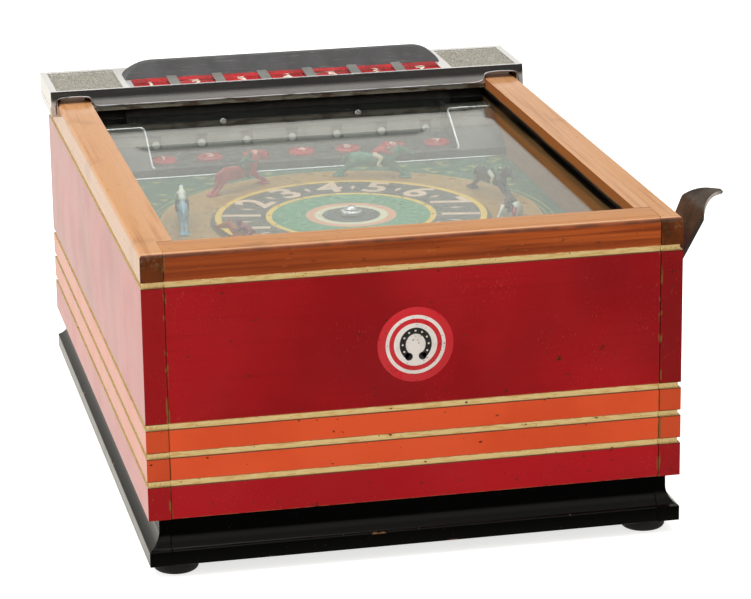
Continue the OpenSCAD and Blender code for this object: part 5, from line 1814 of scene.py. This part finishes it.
@dataclass
class Studio:
    """Camera, white sweep and soft lamps."""

    lens_mm: float = 152.19
    sensor_mm: float = 36.0
    camera_mm: tuple[float, float, float] = (-373.0, -1627.2, 654.1)
    right: tuple[float, float, float] = (0.97676, -0.21395, -0.01303)
    up: tuple[float, float, float] = (0.07393, 0.27920, 0.95738)
    back: tuple[float, float, float] = (-0.20119, -0.93609, 0.28853)
    soft_levels: Pairs = ((0.0, 0.3), (0.5, 0.38), (0.7, 0.55), (1.0, 0.75))
    sweep_levels: Pairs = ((0.0, 0.8), (0.225, 0.68), (0.25, 0.58), (0.275, 0.47), (0.3, 0.3), (0.6, 0.16),
                           (0.85, 0.72))
    room_levels: Pairs = ((0.0, 0.03), (0.22, 0.06), (0.4, 0.9), (0.6, 1.1), (0.85, 0.72))
    floor_levels: Pairs = ((0.0, 0.05), (1.0, 1.0))
    room_tint: tuple[float, float, float] = (1.0, 0.96, 0.87)
    paper: float = 0.78
    glow: float = 0.72
    floor_half: float = 4.0
    dark_floor_mm: tuple[float, float] = (-60.0, 60.0)

    def camera(self) -> None:
        """Set the camera where the photo was taken from."""
        data = bpy.data.cameras.new("photo_camera")
        data.sensor_width = self.sensor_mm
        data.lens = self.lens_mm
        data.clip_end = 20.0
        eye = linked("photo_camera", data)
        turn = Matrix((self.right, self.up, self.back)).transposed().to_4x4()
        eye.matrix_world = DATUM.place(*self.camera_mm) @ turn
        bpy.context.scene.camera = eye

    def greys(self, levels: Pairs) -> list[tuple[float, Colour]]:
        """Turn levels of light into stops of the room's warm grey."""
        return [(place, (*(level * part for part in self.room_tint), 1.0)) for place, level in levels]

    def world(self) -> None:
        """Show white to the camera, a lit sweep in mirrors, and soft light from above elsewhere."""
        world = bpy.data.worlds.new("white_room")
        bpy.context.scene.world = world
        graph = Graph(world, "ShaderNodeOutputWorld")
        ahead, lift = graph.split(graph.node("ShaderNodeTexCoord").outputs["Generated"])[1:]
        soft = graph.ramp(graph.rise(lift, -1.0, 1.0), self.greys(self.soft_levels))
        sweep = graph.ramp(lift, self.greys(self.sweep_levels))
        room = graph.ramp(lift, self.greys(self.room_levels))
        mirrored = graph.blend(graph.rise(ahead, -0.75, -0.35), room, sweep)
        path = graph.node("ShaderNodeLightPath").outputs
        seen = graph.calc("MAXIMUM", path["Is Camera Ray"], path["Is Transmission Ray"])
        colour = graph.blend(path["Is Glossy Ray"], soft, mirrored)
        colour = graph.blend(seen, colour, (1.0, 1.0, 1.0, 1.0))
        graph.show(graph.node("ShaderNodeBackground", {0: colour}))

    def lamp(self, name: str, spot: tuple[float, float, float], aim: tuple[float, float, float],
             size_mm: float, watts: float) -> None:
        """Hang a square soft lamp.

        Args:
            name: The lamp's name.
            spot: Its place in the cabinet's mm.
            aim: The point it faces.
            size_mm: Its side.
            watts: Its power.
        """
        data = bpy.data.lights.new(name, "AREA")
        data.size = size_mm * MM
        data.energy = watts
        away = DATUM.at(*spot) - DATUM.at(*aim)
        turn = away.to_track_quat("Z", "Y").to_matrix().to_4x4()
        linked(name, data).matrix_world = DATUM.place(*spot) @ turn

    def floor(self) -> None:
        """Lay a white floor that is pure white to the camera except where the object shades it."""
        bm = bmesh.new()
        bmesh.ops.create_grid(bm, x_segments=2, y_segments=2, size=self.floor_half)
        sheet = linked("floor", mesh_of("floor", bm))
        white = bpy.data.materials.new("white_floor")
        graph = Graph(white)
        path = graph.node("ShaderNodeLightPath").outputs
        paper = graph.node("ShaderNodeBsdfDiffuse", {0: (self.paper, self.paper, self.paper, 1.0)})
        glow = graph.node("ShaderNodeEmission", {1: self.glow})
        lit = graph.node("ShaderNodeAddShader", {0: paper.outputs[0], 1: glow.outputs[0]})
        near, far = (DATUM.at(0, y, 0).y for y in self.dark_floor_mm)
        tone = graph.ramp(graph.rise(graph.xyz[1], near, far), self.greys(self.floor_levels))
        mirrored = graph.node("ShaderNodeEmission", {0: tone})
        shown = graph.mixed(path["Is Camera Ray"], paper, lit)
        graph.show(graph.mixed(path["Is Glossy Ray"], shown, mirrored))
        sheet.data.materials.append(white)

    def build(self) -> None:
        """Set up the whole studio."""
        self.camera()
        self.world()
        self.lamp("key_lamp", (-650, -100, 1450), (0, 200, 100), 800, 9)
        self.lamp("top_lamp", (200, 300, 1500), (0, 220, 100), 900, 8)
        self.lamp("left_lamp", (-1500, 300, 500), (0, 200, 100), 900, 6)
        self.floor()
        bpy.context.scene.view_settings.view_transform = "Standard"


def main() -> None:
    """Build the sub-assemblies in order and then the studio."""
    logging.basicConfig(level=logging.INFO, format="%(message)s")
    for assembly in (Cabinet(), PlayField(), HorseWheel(), CentreDial(), CoinHead(), CoinApron(), Drive(),
                     PlayLever(), BackDoor(), Studio()):
        assembly.build()


if __name__ == "__main__":
    main()
